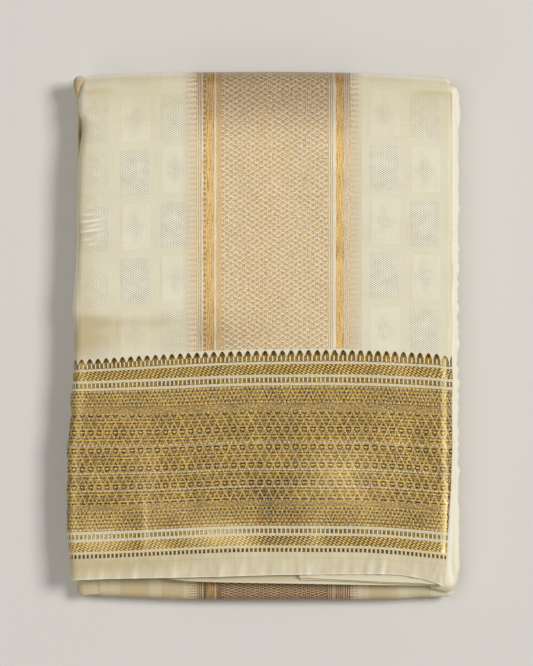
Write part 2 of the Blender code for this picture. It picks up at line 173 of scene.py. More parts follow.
# Relief of the top cloth, in metres: a ridge or trough with soft sides, turned from the x axis
Crease = namedtuple("Crease", "x y turn half_length half_width height")
SWELLS = (
    Crease(-0.082, 0.0085, 0, 0.045, 0.010, -0.0005),
    Crease(-0.070, -0.0950, 70, 0.030, 0.013, 0.0006),
    Crease(-0.020, -0.1080, 80, 0.032, 0.016, 0.0005),
    Crease(0.038, -0.0850, 75, 0.045, 0.026, 0.0006),
    Crease(0.085, -0.0700, 85, 0.060, 0.014, -0.0004),
    Crease(-0.050, 0.0900, 85, 0.055, 0.020, 0.0004),
    Crease(0.060, 0.0700, 95, 0.060, 0.024, 0.0004),
)
CREASES = (
    # the dent above the border at the left
    Crease(-0.0860, 0.0082, 0, 0.0300, 0.0024, -0.00075),
    Crease(-0.0960, -0.0030, 84, 0.0090, 0.0020, 0.00020),
    # a pressed fold that leans through the border
    Crease(-0.0702, -0.1090, 96, 0.0150, 0.0012, 0.00022),
    Crease(-0.0655, -0.1230, 62, 0.0080, 0.0022, 0.00020),
    Crease(-0.0250, -0.1200, 55, 0.0100, 0.0035, 0.00022),
    Crease(0.0285, -0.1215, 70, 0.0080, 0.0024, 0.00022),
    # fine folds that fan out at the lower right corner
    Crease(0.1010, -0.1380, 66, 0.0075, 0.0007, 0.00050),
    Crease(0.1025, -0.1340, 70, 0.0070, 0.0006, 0.00040),
    Crease(0.0985, -0.1400, 60, 0.0060, 0.0007, 0.00040),
    Crease(0.0702, -0.1370, 88, 0.0070, 0.0006, 0.00030),
    Crease(0.0650, -0.1355, 80, 0.0050, 0.0012, -0.00020),
)
WRINKLES = (
    Crease(0.0703, -0.1385, 88, 0.0050, 0.0005, 0.00030),
    Crease(-0.1008, 0.0673, 8, 0.0058, 0.0006, 0.00060),
    Crease(-0.0996, 0.0646, 14, 0.0038, 0.0006, 0.00045),
    Crease(-0.1011, 0.0616, 8, 0.0055, 0.0006, 0.00055),
    Crease(-0.1023, 0.0710, 3, 0.0046, 0.0006, 0.00030),
    Crease(-0.1018, 0.0750, 10, 0.0022, 0.0006, 0.00024),
    Crease(-0.1010, 0.0534, 4, 0.0026, 0.0006, 0.00024),
    Crease(-0.1037, 0.0562, 8, 0.0028, 0.0006, 0.00024),
    Crease(-0.0974, 0.0585, 18, 0.0040, 0.0007, 0.00020),
)
# Lines where the top cloth was creased and pressed flat again, with painted shade along each. The height is
# how dark each one is.
CREASE_SHADE_LINES = (
    Crease(-0.0831, 0.0652, 90, 0.0130, 0.0009, 0.30),
    Crease(-0.0599, 0.0335, 90, 0.0110, 0.0008, 0.25),
    Crease(-0.0855, 0.0029, 90, 0.0080, 0.0009, 0.25),
    Crease(0.0630, 0.0670, 90, 0.0100, 0.0008, 0.25),
    Crease(0.0874, 0.0393, 90, 0.0065, 0.0008, 0.25),
    Crease(0.1103, 0.1370, 90, 0.0095, 0.0006, 0.60),
    Crease(0.1100, 0.0373, 90, 0.0280, 0.0007, 0.25),
)
# Puckers along the free edge. Columns: x (millimetres), height
PUCKERS = (
    (-103.1, 0.22), (-96.1, 0.22), (-86.1, 0.14), (-76.1, 0.31), (-63.2, 0.16), (-53.2, 0.2),
    (-41.4, 0.18), (-25.5, 0.25), (-13.8, 0.23), (-6.1, 0.11), (-1.4, 0.18), (6.2, 0.11),
    (10.9, 0.16), (15.1, 0.18), (20.9, 0.13), (25.6, 0.29), (30.3, 0.13), (40.3, 0.17),
    (46.8, 0.13), (53.9, 0.17), (61.5, 0.26), (68.6, 0.34), (75.6, 0.13), (88.0, 0.25),
    (95.6, 0.08), (103.8, 0.23),
)
PUCKER_HALF_WIDTH = 0.0019
PUCKER_REACH = 0.0075  # how far up the cloth they run
PUCKER_LEAN = 0.12  # how much they lean as they run up
PUCKER_RISE = 3.4
WAVES = 14  # long waves in the top cloth, drawn once from a fixed seed
WAVE_HEIGHT = 0.00006

# Rows of the border on the top cloth. Columns: x, y (metres)
TEMPLE_TIPS = (
    (-0.1130, -0.0134), (-0.1014, -0.0129), (-0.0773, -0.0113), (-0.0537, -0.0098),
    (-0.0290, -0.0086), (0.0009, -0.0078), (0.0421, -0.0074), (0.0627, -0.0078), (0.0821, -0.0086),
    (0.1021, -0.0098), (0.1068, -0.0109),
)
UPPER_PALE_BAND = (
    (-0.1120, -0.0447), (-0.1037, -0.0447), (-0.0643, -0.0446), (-0.0014, -0.0427),
    (0.0533, -0.0428), (0.1038, -0.0447),
)
LAST_LADDER = (
    (-0.1134, -0.1297), (-0.0961, -0.1291), (0.0015, -0.1253), (0.0533, -0.1256), (0.1038, -0.1294),
    (0.1075, -0.1299),
)
PALE_BAND_V = 33.2
LAST_LADDER_V = 116.7

# Painted highlight on the zari where the cloth tilts towards the light, and painted shade where a strength is
# negative.
# Columns: x, y, half length across, half length along (millimetres), strength
PAINTED_LIGHT_PATCHES = (
    (45, -82, 22, 16, 0.34), (-26, -117, 17, 9, 0.55), (-14, -121, 8, 6, 0.25),
    (31, -116, 5, 9, 0.30), (-68, -88, 7, 38, 0.12), (-50, -103, 14, 6, 0.15),
    (3, -97, 7, 14, -0.22), (3, -119, 8, 6, -0.15), (101, -116, 7, 9, 0.25),
    (-96, -120, 15, 9, 0.48), (60, -106, 14, 10, 0.12), (50, -122, 10, 4, -0.10),
    (8, -91, 15, 8, -0.20), (-69, -112, 1.5, 15, 0.40), (-74, -114, 3, 14, -0.15),
    (-62, -122, 7, 5, 0.30), (12, -60, 20, 9, -0.10),
)
# Lines near both sides of the border where the cloth starts to round over, along which highlight is painted.
# Columns: y, x
LEFT_HIGHLIGHT_LINE = (
    (-0.1288, -0.1118), (-0.0965, -0.1112), (-0.0789, -0.1107), (-0.0600, -0.1090),
    (-0.0406, -0.1073), (-0.0124, -0.1058),
)
RIGHT_HIGHLIGHT_LINE = ((-0.1288, 0.1056), (-0.0965, 0.1066), (-0.0406, 0.1062), (-0.0124, 0.1062))
# Painted highlight along those lines, and painted shade where a strength is negative. Columns: line, shift
# outwards, half width (millimetres), strength
SIDE_PAINTED_LIGHT = (
    (LEFT_HIGHLIGHT_LINE, 0.0, 2.2, 0.17),
    (RIGHT_HIGHLIGHT_LINE, 0.0, 1.5, 0.85),
    (RIGHT_HIGHLIGHT_LINE, 2.5, 1.0, -0.42),
)

# How far the border's threads are drawn together towards the sides. Columns: x (metres), shift (mm)
GATHER = (
    (-0.1125, -4.5), (-0.1020, -3.9), (-0.0667, -1.9), (-0.0432, -0.8), (-0.0196, -0.2), (0.0, 0.0),
    (0.0509, -0.2), (0.0744, -0.1), (0.0980, 0.8), (0.1097, 1.2),
)

# Weave, in millimetres of cloth
TEMPLE_PITCH = 5.08
TEMPLE_START = 0.96  # u of a tooth
TEMPLE_FOOT = 3.9
LADDER_PITCH = 2.56
LADDER_STARTS = (0.22, 0.22, 0.22, 1.83)  # u of a bar in each ladder
FIELD_WIDE = 5.16
RING_START = 3.15  # u of a ring
FIELD_TALL = 10.55
FIELD_START = 44.9  # v of the first whole motif
TWILL_STARTS = (-0.2, -0.55)  # u of a dash half-way down each twill
BROCADE_WIDE = 5.04
BROCADE_TALL = 3.17
COMB_PITCH = 3.17
CHECK_WIDE = 23.8
CHECK_TALL = 31.75
CHECK_START = (-84.3, -25.3)
CHECK_PATCH = (17.6, 27.0)
CHECK_SHIFT = 3.5  # how much later the checks start again beyond the band
DOT_WIDE = 1.88
DOT_TALL = 1.29
BORDER_FOOT = 118.0

# The border's rows, from the temple row to the selvedge: start, end (v)
Row = namedtuple("Row", "start end")
PALE_LINES = (
    Row(7.05, 8.5), Row(14.2, 15.8), Row(18.7, 20.3),
    Row(102.5, 104.2), Row(106.9, 108.5), Row(114.2, 115.7),
)
HAIR_LINES = (Row(52.5, 53.3), Row(68.7, 69.5), Row(78.7, 79.5))
PALE_BANDS = (Row(30.4, 34.4), Row(87.4, 90.2))
LADDERS = (Row(3.9, 6.7), Row(15.9, 18.4), Row(104.2, 107.0), Row(115.8, BORDER_FOOT))
TWILLS = (Row(8.5, 14.2), Row(108.5, 114.2))
SMALL_FIELDS = (Row(20.3, 30.4), Row(90.2, 102.5))

# The brocade band's stripes, from left to right (u): start, end
BAND = Row(-39.0, 51.0)
BROCADE = Row(-24.6, 37.7)
GOLD_STRIPES = (Row(-33.7, -29.0), Row(42.5, 47.4))
WHITE_STRIPES = (Row(-36.3, -35.4), Row(-28.9, -27.8), Row(41.0, 42.3))
FINE_STRIPES = (Row(-39.0, -36.7), Row(38.0, 41.0), Row(47.6, 50.6))
BAND_LADDER = Row(-35.4, -33.8)
LEFT_COMB = 7.1
RIGHT_COMB = 5.8
BROCADE_START = (-1.3, 0.15)

# Where the other pieces lie on the weave (u or v)
BUNDLE_U = 118
EAR_U = -105
SELVEDGE_V = 140
CLOSED_V = 7.0
CLOSED_TIGHTNESS = 2.1  # how much closer the brocade's rows stand where the closed fold turns down


def smooth(table, at):
    """Values on a smooth curve through a table's rows, level where the rows turn back."""
    places, values = np.array(table, float).T
    at = np.clip(at, places[0], places[-1])
    slopes = np.diff(values) / np.diff(places)
    before, after = np.r_[slopes[:1], slopes], np.r_[slopes, slopes[-1:]]
    turning = before * after <= 0
    tangents = np.where(turning, 0.0, 2 * before * after / np.where(turning, 1.0, before + after))
    row = np.clip(np.searchsorted(places, at, side="right") - 1, 0, len(slopes) - 1)
    width = (places[1:] - places[:-1])[row]
    t = (at - places[row]) / width
    return (
        (2 * t**3 - 3 * t**2 + 1) * values[row]
        + (t**3 - 2 * t**2 + t) * width * tangents[row]
        + (3 * t**2 - 2 * t**3) * values[row + 1]
        + (t**3 - t**2) * width * tangents[row + 1]
    )


def mix(start, end, share):
    return start + (end - start) * share


def ease(share):
    share = np.clip(share, 0.0, 1.0)
    return share * share * (3 - 2 * share)


def rise(at, start, width):
    """0 up to a place and 1 a width further on."""
    return ease((at - start) / width)


def bell(at, middle, half_width, power=2):
    """1 in the middle, falling to 0 on both sides. A higher power has steeper sides."""
    return np.exp(-(((at - middle) / half_width) ** power))


def ridge_height(creases, x, y):
    """The creases' heights, added up."""
    total = 0.0
    for crease in creases:
        turn = math.radians(crease.turn)
        along = (x - crease.x) * math.cos(turn) + (y - crease.y) * math.sin(turn)
        across = (y - crease.y) * math.cos(turn) - (x - crease.x) * math.sin(turn)
        spread = (along / crease.half_length) ** 2 + (across / crease.half_width) ** 2
        total = total + crease.height * np.exp(-spread)
    return total


def upper_height(x, y):
    return MID - smooth(ACROSS_FALL, x) - smooth(ALONG_FALL, y) + ridge_height(SWELLS, x, y)


def long_waves():
    """Directions, lengths and phases of the long waves in the cloth."""
    draw = random.Random(11)
    return [
        (draw.uniform(0, math.pi), draw.uniform(0.014, 0.045), draw.uniform(0, 2 * math.pi))
        for _ in range(WAVES)
    ]


def pucker_height(x, y):
    """How far the puckers along the free edge stand up, in the units of their table."""
    height, edge = 0.0, smooth(FREE_EDGE, x)
    for middle, size in PUCKERS:
        across = (x - middle * MM - PUCKER_LEAN * (y - edge)) / PUCKER_HALF_WIDTH
        height = height + size * np.exp(-(across**2) - ((y - edge) / PUCKER_REACH) ** 2)
    return height


def fine_relief(x, y):
    """What the top cloth's upper face adds to the pack's form."""
    height = ridge_height(CREASES + WRINKLES, x, y) + pucker_height(x, y) * PUCKER_RISE * MM
    for turn, length, phase in long_waves():
        way = x * math.cos(turn) + y * math.sin(turn)
        height = height + WAVE_HEIGHT * np.sin(2 * math.pi * way / length + phase)
    return height


def axis_y(x):
    return smooth(TOP_EDGE, x) - TURN_SQUASH * MID


Station = namedtuple("Station", "share turn rounding")


def flat_y(station, x):
    edge = smooth(FREE_EDGE, x) if station.turn == 0 else smooth(CLOSED_EDGE, x) + END_RADIUS
    return mix(edge, axis_y(x), station.share)


def height(station, x):
    if station.turn == 0:
        return upper_height(x, flat_y(station, x))
    return mix(upper_height(x, axis_y(x)), MID, ease(station.turn / 180))


def place(station, x, n):
    turn = math.radians(station.turn)
    flat = station.turn in (0, 180)
    back = END_RADIUS * math.sin(station.rounding * math.pi / 2)
    y = flat_y(station, x) if flat else axis_y(x)
    rise = 0.0 if flat else math.sin(turn)
    return np.stack((x, y + TURN_SQUASH * n * rise - back, MID + n * math.cos(turn)), axis=-1)


def shares(*runs):
    """Places from 0 to 1 with the given number of steps between the given ends."""
    return np.unique(np.concatenate([np.linspace(start, end, steps + 1) for start, end, steps in runs]))


FINE_SHARES = shares((0, 0.06, 18), (0.06, 0.67, 76), (0.67, 0.765, 42), (0.765, 1, 26))
PLAIN_SHARES = shares((0, 0.06, 5), (0.06, 1, 28))
FLAT_COLUMNS = np.linspace(0, 1, 182)
CORE_COLUMNS = np.linspace(0, 1, 150)
RIGHT_ARC, LEFT_ARC, INNER_ARC, CORE_ARC = 20, 32, 24, 8  # steps round the folded edges


def stations(upper, turn_steps, lower_steps, end_steps=0, first=0.0):
    """Stations from the free end, round the last fold, to the closed end."""
    way = [Station(share, 0, 0.0) for share in upper if share >= first]
    way += [Station(1.0, 180 * step / turn_steps, 0.0) for step in range(turn_steps + 1)]
    way += [Station(1 - step / lower_steps, 180, 0.0) for step in range(1, lower_steps + 1)]
    return way + [Station(0.0, 180, (step + 1) / end_steps) for step in range(end_steps)]


def ripple(at, seed, size):
    """A small unevenness along an edge."""
    draw = random.Random(seed)
    waves = [(draw.uniform(0.0045, 0.04), draw.uniform(0, 2 * math.pi)) for _ in range(RIPPLE_WAVES)]
    return size / 7 * sum(math.sin(2 * math.pi * at / length + phase) for length, phase in waves)


def edge_x(station, upper, lower, turning, seed):
    if station.turn == 0:
        at = mix(FREE_END, TURN_START, station.share)
        return smooth(upper, at) + ripple(at, seed, UPPER_RIPPLE) * math.sin(math.pi * station.share)
    if station.turn < 180:
        return smooth(turning, station.turn)
    at = mix(CLOSED_END, TURN_START, station.share)
    return smooth(lower, at) + ripple(at, seed + 1, LOWER_RIPPLE) * math.sin(math.pi * station.share)


def end_drop(station):
    return END_RADIUS * (1 - math.cos(station.rounding * math.pi / 2))


def left_x(station):
    return edge_x(station, LEFT_UPPER, LEFT_LOWER, LEFT_TURN, seed=3) + end_drop(station) * 0.5


def right_x(station):
    return edge_x(station, RIGHT_UPPER, RIGHT_LOWER, RIGHT_TURN, seed=5) - end_drop(station) * 0.5


def left_reach(station):
    """How far the left folded edge rounds in, tighter where the pack turns."""
    return LEFT_REACH * (1 - 0.7 * math.sin(math.radians(station.turn)))


def inner_right_x(station):
    return edge_x(station, INNER_UPPER, INNER_LOWER, INNER_TURN, seed=7) - end_drop(station) * 0.3


def low_height(station):
    return GAP / 2 + EYE * math.sin(math.radians(station.turn)) ** 2


def way_at(station):
    """Distance down the strap, roughly."""
    if station.turn == 0:
        return HALF_LENGTH * station.share
    below = HALF_LENGTH * (1 - station.share) if station.turn == 180 else 0.0
    return HALF_LENGTH + TURN_LENGTH * station.turn / 180 + below


def folded_edge(edge, reach, low, high, depth, inward, steps, folds=1, at=0.0):
    """Points round one folded edge, from high to low, as x and n, with grooves between its folds."""
    angle = np.pi * np.arange(steps + 1) / steps
    pinch = 0.0
    for fold in range(1, folds):
        groove = math.acos(1 - 2 * fold / folds) + 0.10 * math.sin(at / 0.021 + 2.3 * fold)
        deep = 0.75 + 0.25 * math.sin(at / 0.013 + 4.1 * fold)
        pinch = pinch + GROOVE * deep * bell(angle, groove, GROOVE_WIDTH)
    x = edge + inward * (reach - (reach - depth - pinch) * np.sin(angle))
    n = (low + high) / 2 + ((high - low) / 2 - depth - pinch) * np.cos(angle)
    return np.stack((x, n), axis=-1)


def flat_ends(station):
    """Where the flat face ends and its folded edges start, at the right and the left."""
    return right_x(station) - RIGHT_REACH, left_x(station) + left_reach(station)


def flat_face(station):
    """Points over the outermost stretch's flat face, from its right folded edge to its left one."""
    x = mix(*flat_ends(station), FLAT_COLUMNS)
    n = height(station, x) - end_drop(station)
    if station.turn == 0:
        n = n + fine_relief(x, flat_y(station, x)) * ease((1 - station.share) / 0.04)
    return np.stack((x, n), axis=-1)


def outer_section(station):
    """The outermost stretch's section, from its tuck at the right to its tuck at the left."""
    flat, at = flat_face(station), way_at(station)
    right_low, left_low = SPLIT + GAP / 2, low_height(station)
    right_high, left_high = flat[0][1], flat[-1][1]
    right = folded_edge(right_x(station), RIGHT_REACH, right_low, right_high, 0.0, -1, RIGHT_ARC, 2, at)
    left = folded_edge(left_x(station), left_reach(station), left_low, left_high, 0.0, 1, LEFT_ARC, 5, at)
    tucks = [((RIGHT_TUCK, right[-1][1]),), ((LEFT_TUCK, left[-1][1]),)]
    return np.concatenate((tucks[0], right[::-1], flat[1:-1], left, tucks[1]))


def inner_section(station):
    """The second bundle's section at the right: out, round its folded edge and back."""
    low, high = low_height(station) + 0.8 * end_drop(station), SPLIT - GAP / 2
    at = way_at(station) + INNER_SHIFT
    edge = folded_edge(inner_right_x(station), RIGHT_REACH, low, high, 0.0, -1, INNER_ARC, 3, at)
    return np.concatenate((((RIGHT_TUCK, edge[0][1]),), edge, ((RIGHT_TUCK, edge[-1][1]),)))


def swept(way, section):
    return np.array([place(station, *section(station).T) for station in way])


# ---- Meshes ----

# Tones that each point carries: painted light (highlight, or shade below 0), painted shade, and how far the
# border's threads are gathered
TONES = ("lustre", "shade", "gather")


def grid_normals(grid):
    """Unit normals of a grid of points, rows by columns."""
    down, along = np.gradient(grid, axis=0), np.gradient(grid, axis=1)
    normal = np.cross(down, along)
    return normal / np.maximum(np.linalg.norm(normal, axis=-1, keepdims=True), 1e-12)


def cloth_lengths(grid):
    """Distance along each column and along each row, from the grid's first point, in metres."""
    down = np.linalg.norm(np.diff(grid, axis=0), axis=-1)
    along = np.linalg.norm(np.diff(grid, axis=1), axis=-1)
    pad = [(1, 0), (0, 0)]
    return np.cumsum(np.pad(down, pad), axis=0), np.cumsum(np.pad(along, pad[::-1]), axis=1)


class Cloth:
    """Grids of cloth gathered into one mesh, each with its cloth coordinates and tones: painted light,
    painted shade and gather.
    """

    def __init__(self):
        self.points, self.faces, self.coordinates, self.tones = [], [], [], []
        self.count = 0

    def add_grid(self, grid, u, v, *tones):
        """Adds a grid's points, and returns their numbers in the mesh."""
        rows, columns = grid.shape[:2]
        numbers = np.arange(rows * columns).reshape(rows, columns) + self.count
        self.count += rows * columns
        self.points.append(grid.reshape(-1, 3))
        tones = (tones + (0.0,) * len(TONES))[: len(TONES)]
        for kept, values in ((self.coordinates, (u, v)), (self.tones, tones)):
            spread = np.broadcast_arrays(*values, grid[..., 0])[:-1]
            kept.append(np.stack(spread, -1).reshape(-1, len(values)))
        return numbers

    def add_faces(self, numbers, flip=False):
        a, b, c, d = numbers[:-1, :-1], numbers[:-1, 1:], numbers[1:, 1:], numbers[1:, :-1]
        order = (d, c, b, a) if flip else (a, b, c, d)
        self.faces.append(np.stack(order, -1).reshape(-1, 4))

    def add_sheet(self, grid, thickness, u, v, *tones, outward=1):
        """A closed sheet: the grid is its face, and its back lies a thickness behind it."""
        back = grid - grid_normals(grid) * thickness * outward
        face = self.add_grid(grid, u, v, *tones)
        behind = self.add_grid(back, u, v, *tones)
        turned = outward < 0
        self.add_faces(face, not turned)
        self.add_faces(behind, turned)
        for rim, flip in (
            (np.stack((face[0], behind[0])), turned),
            (np.stack((face[-1], behind[-1])), not turned),
            (np.stack((face[:, 0], behind[:, 0])), not turned),
            (np.stack((face[:, -1], behind[:, -1])), turned),
        ):
            self.add_faces(rim, not flip)

    def make(self, name, material, node):
        """The finished piece, which takes the place of a node."""
        mesh = bpy.data.meshes.new(name)
        points, faces = np.concatenate(self.points), np.concatenate(self.faces)
        mesh.from_pydata(points.tolist(), [], faces.tolist())
        layer = mesh.uv_layers.new(name="Cloth")
        corners = np.empty(len(mesh.loops), np.int32)
        mesh.loops.foreach_get("vertex_index", corners)
        layer.data.foreach_set("uv", np.concatenate(self.coordinates)[corners].astype(np.float32).ravel())
        tones = np.concatenate(self.tones).astype(np.float32)
        for index, tone in enumerate(TONES):
            mesh.attributes.new(tone, "FLOAT", "POINT").data.foreach_set("value", tones[:, index].copy())
        mesh.validate()
        mesh.shade_smooth()
        mesh.set_sharp_from_angle(angle=math.radians(50))
        mesh.materials.append(material)
        piece = bpy.data.objects.new(name, mesh)
        bpy.context.scene.collection.objects.link(piece)
        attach(piece, BODY)
        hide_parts(node)
        return piece


# ---- Cloth coordinates ----


def border_v(x, y):
    """How far down the border's rows a place on the top face lies."""
    tips, band, ladder = smooth(TEMPLE_TIPS, x), smooth(UPPER_PALE_BAND, x), smooth(LAST_LADDER, x)
    above = (tips - y) / (tips - band)
    below = (band - y) / (band - ladder)
    v = np.where(y > band, PALE_BAND_V * above, mix(PALE_BAND_V, LAST_LADDER_V, below))
    return np.where(y > tips, (tips - y) / MM, v)


def section_u(grid, first, last):
    """u over a swept section: x on the flat face, and the length round the edges beyond it."""
    _, along = cloth_lengths(grid)
    x = grid[..., 0]
    u = x.copy()
    u[:, :first] = x[:, first : first + 1] + (along[:, first : first + 1] - along[:, :first])
    u[:, last + 1 :] = x[:, last : last + 1] - (along[:, last + 1 :] - along[:, last : last + 1])
    return u / MM


def strap_v(grid, way):
    """v down the strap: the border's rows on the upper half, and the cloth's length beyond it."""
    down, _ = cloth_lengths(grid)
    last = max(row for row, station in enumerate(way) if station.turn == 0 or row == 0)
    v = border_v(grid[..., 0], grid[..., 1])
    v[last + 1 :] = v[last] - (down[last + 1 :] - down[last]) / MM
    return v


def painted_light_at(x, y):
    """Painted highlight and shade on the zari of the top face."""
    total = 0.0
    for centre_x, centre_y, half_x, half_y, strength in PAINTED_LIGHT_PATCHES:
        spread = ((x / MM - centre_x) / half_x) ** 2 + ((y / MM - centre_y) / half_y) ** 2
        total = total + strength * np.exp(-spread)
    for table, shift, half_width, strength in SIDE_PAINTED_LIGHT:
        total = total + strength * bell(x, smooth(table, y) + shift * MM, half_width * MM, power=4)
    return total * ease((smooth(TEMPLE_TIPS, x) - y) / 0.002) * ease((y - smooth(LAST_LADDER, x)) / 0.0015)


# ---- Shader maths ----


def raw(value):
    return value.socket if isinstance(value, Value) else value


class Value:
    """A number that varies over the cloth. Maths on it adds nodes to its material."""

    def __init__(self, shader, socket):
        self.shader, self.socket = shader, socket

    def maths(self, operation, *values, clamp=False):
        settings = {"operation": operation, "use_clamp": clamp}
        return Value(self.shader, self.shader.node("ShaderNodeMath", settings, list(values)))

    def __add__(self, other):
        return self.maths("ADD", self, other)

    def __sub__(self, other):
        return self.maths("SUBTRACT", self, other)

    def __rsub__(self, other):
        return self.maths("SUBTRACT", other, self)

    def __mul__(self, other):
        return self.maths("MULTIPLY", self, other)

    def __truediv__(self, other):
        return self.maths("DIVIDE", self, other)

    def __pow__(self, other):
        return self.maths("POWER", self, other)

    def __abs__(self):
        return self.maths("ABSOLUTE", self)

    __radd__, __rmul__ = __add__, __mul__

    def clamped(self):
        return self.maths("ADD", self, 0.0, clamp=True)

    def floor(self):
        return self.maths("FLOOR", self)

    def fract(self):
        return self.maths("FRACT", self)

    def at_least(self, other):
        return self.maths("MAXIMUM", self, other)

    def off(self, pitch):
        """Distance from the nearest of the lines that stand a pitch apart."""
        return self.maths("PINGPONG", self, pitch / 2)

    def wave(self, pitch, start=0.0):
        """1 on lines a pitch apart, the first at start, and -1 between them."""
        turns = 2 * math.pi / pitch
        angle = self.maths("MULTIPLY_ADD", self, turns, -start * turns)
        return self.maths("COSINE", angle)

    def over(self, edge, soft):
        """0 below an edge and 1 above it."""
        values = [self, edge - soft / 2, edge + soft / 2, 0.0, 1.0]
        return Value(self.shader, self.shader.node("ShaderNodeMapRange", {"clamp": True}, values))

    def within(self, row, soft):
        """1 between a row's start and end."""
        return self.over(row.start, soft) * (1 - self.over(row.end, soft))

    def in_any(self, rows, soft=0.3):
        """1 in each of the rows."""
        return any_of(self.within(row, soft) for row in rows)


class Weave:
    """A material, made of nodes that each come from one method."""

    def __init__(self, name):
        self.material = bpy.data.materials.new(name)
        self.material.use_nodes = True
        self.tree = self.material.node_tree
        self.tree.nodes.clear()

    def node(self, kind, settings=None, values=(), output=0):
        """A node of the given type. Settings come first, then the values or links of its sockets."""
        made = self.tree.nodes.new(kind)
        for name, setting in (settings or {}).items():
            setattr(made, name, setting)
        pairs = values.items() if isinstance(values, dict) else enumerate(values)
        for place, value in pairs:
            if value is None:
                continue
            value = raw(value)
            if isinstance(value, bpy.types.NodeSocket):
                self.tree.links.new(value, made.inputs[place])
            else:
                made.inputs[place].default_value = value
        return made.outputs[output]

    def value(self, *arguments, **named):
        return Value(self, self.node(*arguments, **named))

    def blend(self, factor, first, second, how="MIX"):
        """Two colours mixed by a factor."""
        settings = {"data_type": "RGBA", "blend_type": how, "clamp_factor": True}
        return self.node("ShaderNodeMix", settings, {0: factor, 6: first, 7: second}, output=2)

    def noise(self, scale, detail=2.0, rough=0.5, stretch=(1.0, 1.0, 1.0)):
        """Cloudy unevenness over cloth coordinates, about 0.5."""
        place = self.node("ShaderNodeVectorMath", {"operation": "MULTIPLY"}, [self.place, stretch])
        values = {"Vector": place, "Scale": scale, "Detail": detail, "Roughness": rough}
        return self.value("ShaderNodeTexNoise", {"noise_dimensions": "2D"}, values)

    def start(self):
        """Cloth coordinates, and the tones: painted light, painted shade and the border's gather."""
        self.place = self.node("ShaderNodeUVMap", {"uv_map": "Cloth"})
        split = self.tree.nodes.new("ShaderNodeSeparateXYZ")
        self.tree.links.new(self.place, split.inputs[0])
        self.u, self.v = (Value(self, split.outputs[axis]) for axis in (0, 1))
        self.lustre, self.shade, self.gather = (
            self.value("ShaderNodeAttribute", {"attribute_name": tone}, output=2) for tone in TONES
        )

    def finish(self, colour, roughness, metallic, height):
        """The shader, with the weave's height as its bump."""
        relief = {"Strength": 0.4, "Distance": 0.0004, "Height": height}
        normal = self.node("ShaderNodeBump", {}, relief)
        values = {
            "Base Color": colour,
            "Roughness": roughness,
            "Metallic": metallic,
            "Normal": normal,
            "Sheen Weight": 0.12,
            "Sheen Roughness": 0.45,
            "Sheen Tint": (1.0, 0.95, 0.85, 1.0),
            "Specular IOR Level": 0.32,
        }
        shader = self.node("ShaderNodeBsdfPrincipled", {}, values)
        self.node_to_output(shader)
        return self.material

    def node_to_output(self, shader):
        output = self.tree.nodes.new("ShaderNodeOutputMaterial")
        self.tree.links.new(shader, output.inputs["Surface"])


def colour(red, green, blue):
    """A colour given in 0 to 255 display values, as the linear one that a socket takes."""
    return tuple((c / 255) ** 2.2 for c in (red, green, blue)) + (1.0,)


def any_of(masks):
    """The masks together. Each is added once it's made, so that a shader holds few values at a time."""
    masks = iter(masks)
    total = next(masks)
    for mask in masks:
        total = total + mask
    return total.clamped()


# ---- The weave's parts. Each returns masks from 0 to 1 over the cloth. ----


def check_weave(weave):
    """Self-coloured checks: dotted twill patches, and plain satin ones with a small dotted lozenge."""
    u, v = weave.u, weave.v
    across_checks = (u - CHECK_START[0] - u.over(0.0, 1.0) * CHECK_SHIFT) / CHECK_WIDE
    along_checks = (v - CHECK_START[1]) / CHECK_TALL
    in_u, in_v = across_checks.fract() * CHECK_WIDE, along_checks.fract() * CHECK_TALL
    patch = in_u.within(Row(0.4, CHECK_PATCH[0]), 0.8) * in_v.within(Row(0.4, CHECK_PATCH[1]), 0.8)
    patch = patch * (1 - v.over(0.0, 0.5))
    parity = (across_checks.floor() + along_checks.floor()).off(2.0)
    parity = (parity + (1 - u.over(CHECK_START[0], 0.5)) * 0.7).clamped()
    ragged = (weave.noise(0.16, 1.0) - 0.5) * 9.0
    off_centre = abs(in_u - CHECK_PATCH[0] / 2) + abs(in_v - CHECK_PATCH[1] / 2) * 0.66 + ragged
    lozenge = 1 - off_centre.over(5.5, 5.0)
    full = 1 - off_centre.over(17.0, 7.0)
    dotted = patch * (parity * full + (1 - parity) * lozenge).clamped()
    dots = u.wave(DOT_WIDE) * v.wave(DOT_TALL)
    edge = patch * in_u.within(Row(0.4, 1.3), 0.4)
    return dotted, dots * (0.8 + ragged * 0.10), patch * (1 - parity) * (1 - lozenge), edge


def main_field(u, v):
    """The field of the border: a net of fine lines, with rings and arches of dark dashes in its meshes."""
    run, rise = (u - RING_START) / FIELD_WIDE, (v - FIELD_START) / FIELD_TALL
    net = (run + rise).off(1.0).at_least((run - rise).off(1.0)).over(0.455, 0.06)
    off_u, off_v = (u - RING_START).off(FIELD_WIDE), (v - FIELD_START - 0.4).off(FIELD_TALL)
    rows = (0 - v.wave(FIELD_TALL / 5, FIELD_START + 0.4)).over(0.35, 0.7)
    near, far = off_v.over(FIELD_TALL / 5, 0.2), off_v.over(FIELD_TALL / 2.5, 0.2)
    ring = 1 - off_u.over(1.35, 0.5)
    arch = off_u.over(1.15, 0.5)
    dots = (u - RING_START).wave(FIELD_WIDE / 2).over(0.2, 0.8)
    sides = off_u.over(1.0, 0.3) * (1 - off_u.over(1.6, 0.3)) * (1 - off_v.over(1.3, 0.4)) * 0.6
    dark = (rows * (ring * (1 - near) + dots * near * (1 - far) + arch * far) + sides).clamped()
    spot_u = FIELD_WIDE / 2 - off_u
    spot_v = (v - FIELD_START - 0.2).off(FIELD_TALL) - FIELD_TALL / 2
    spot = 1 - (spot_u * spot_u * 0.6 + spot_v * spot_v * 1.6).over(0.5, 0.6)
    eye = 1 - (off_u * off_u * 0.9 + off_v * off_v * 1.6).over(0.4, 0.35)
    wefts = v.wave(FIELD_TALL / 5, FIELD_START + 0.4) * 0.09 + v.wave(FIELD_TALL / 7, FIELD_START) * 0.11
    return net * (1 - dark), dark, (spot + eye).clamped(), wefts


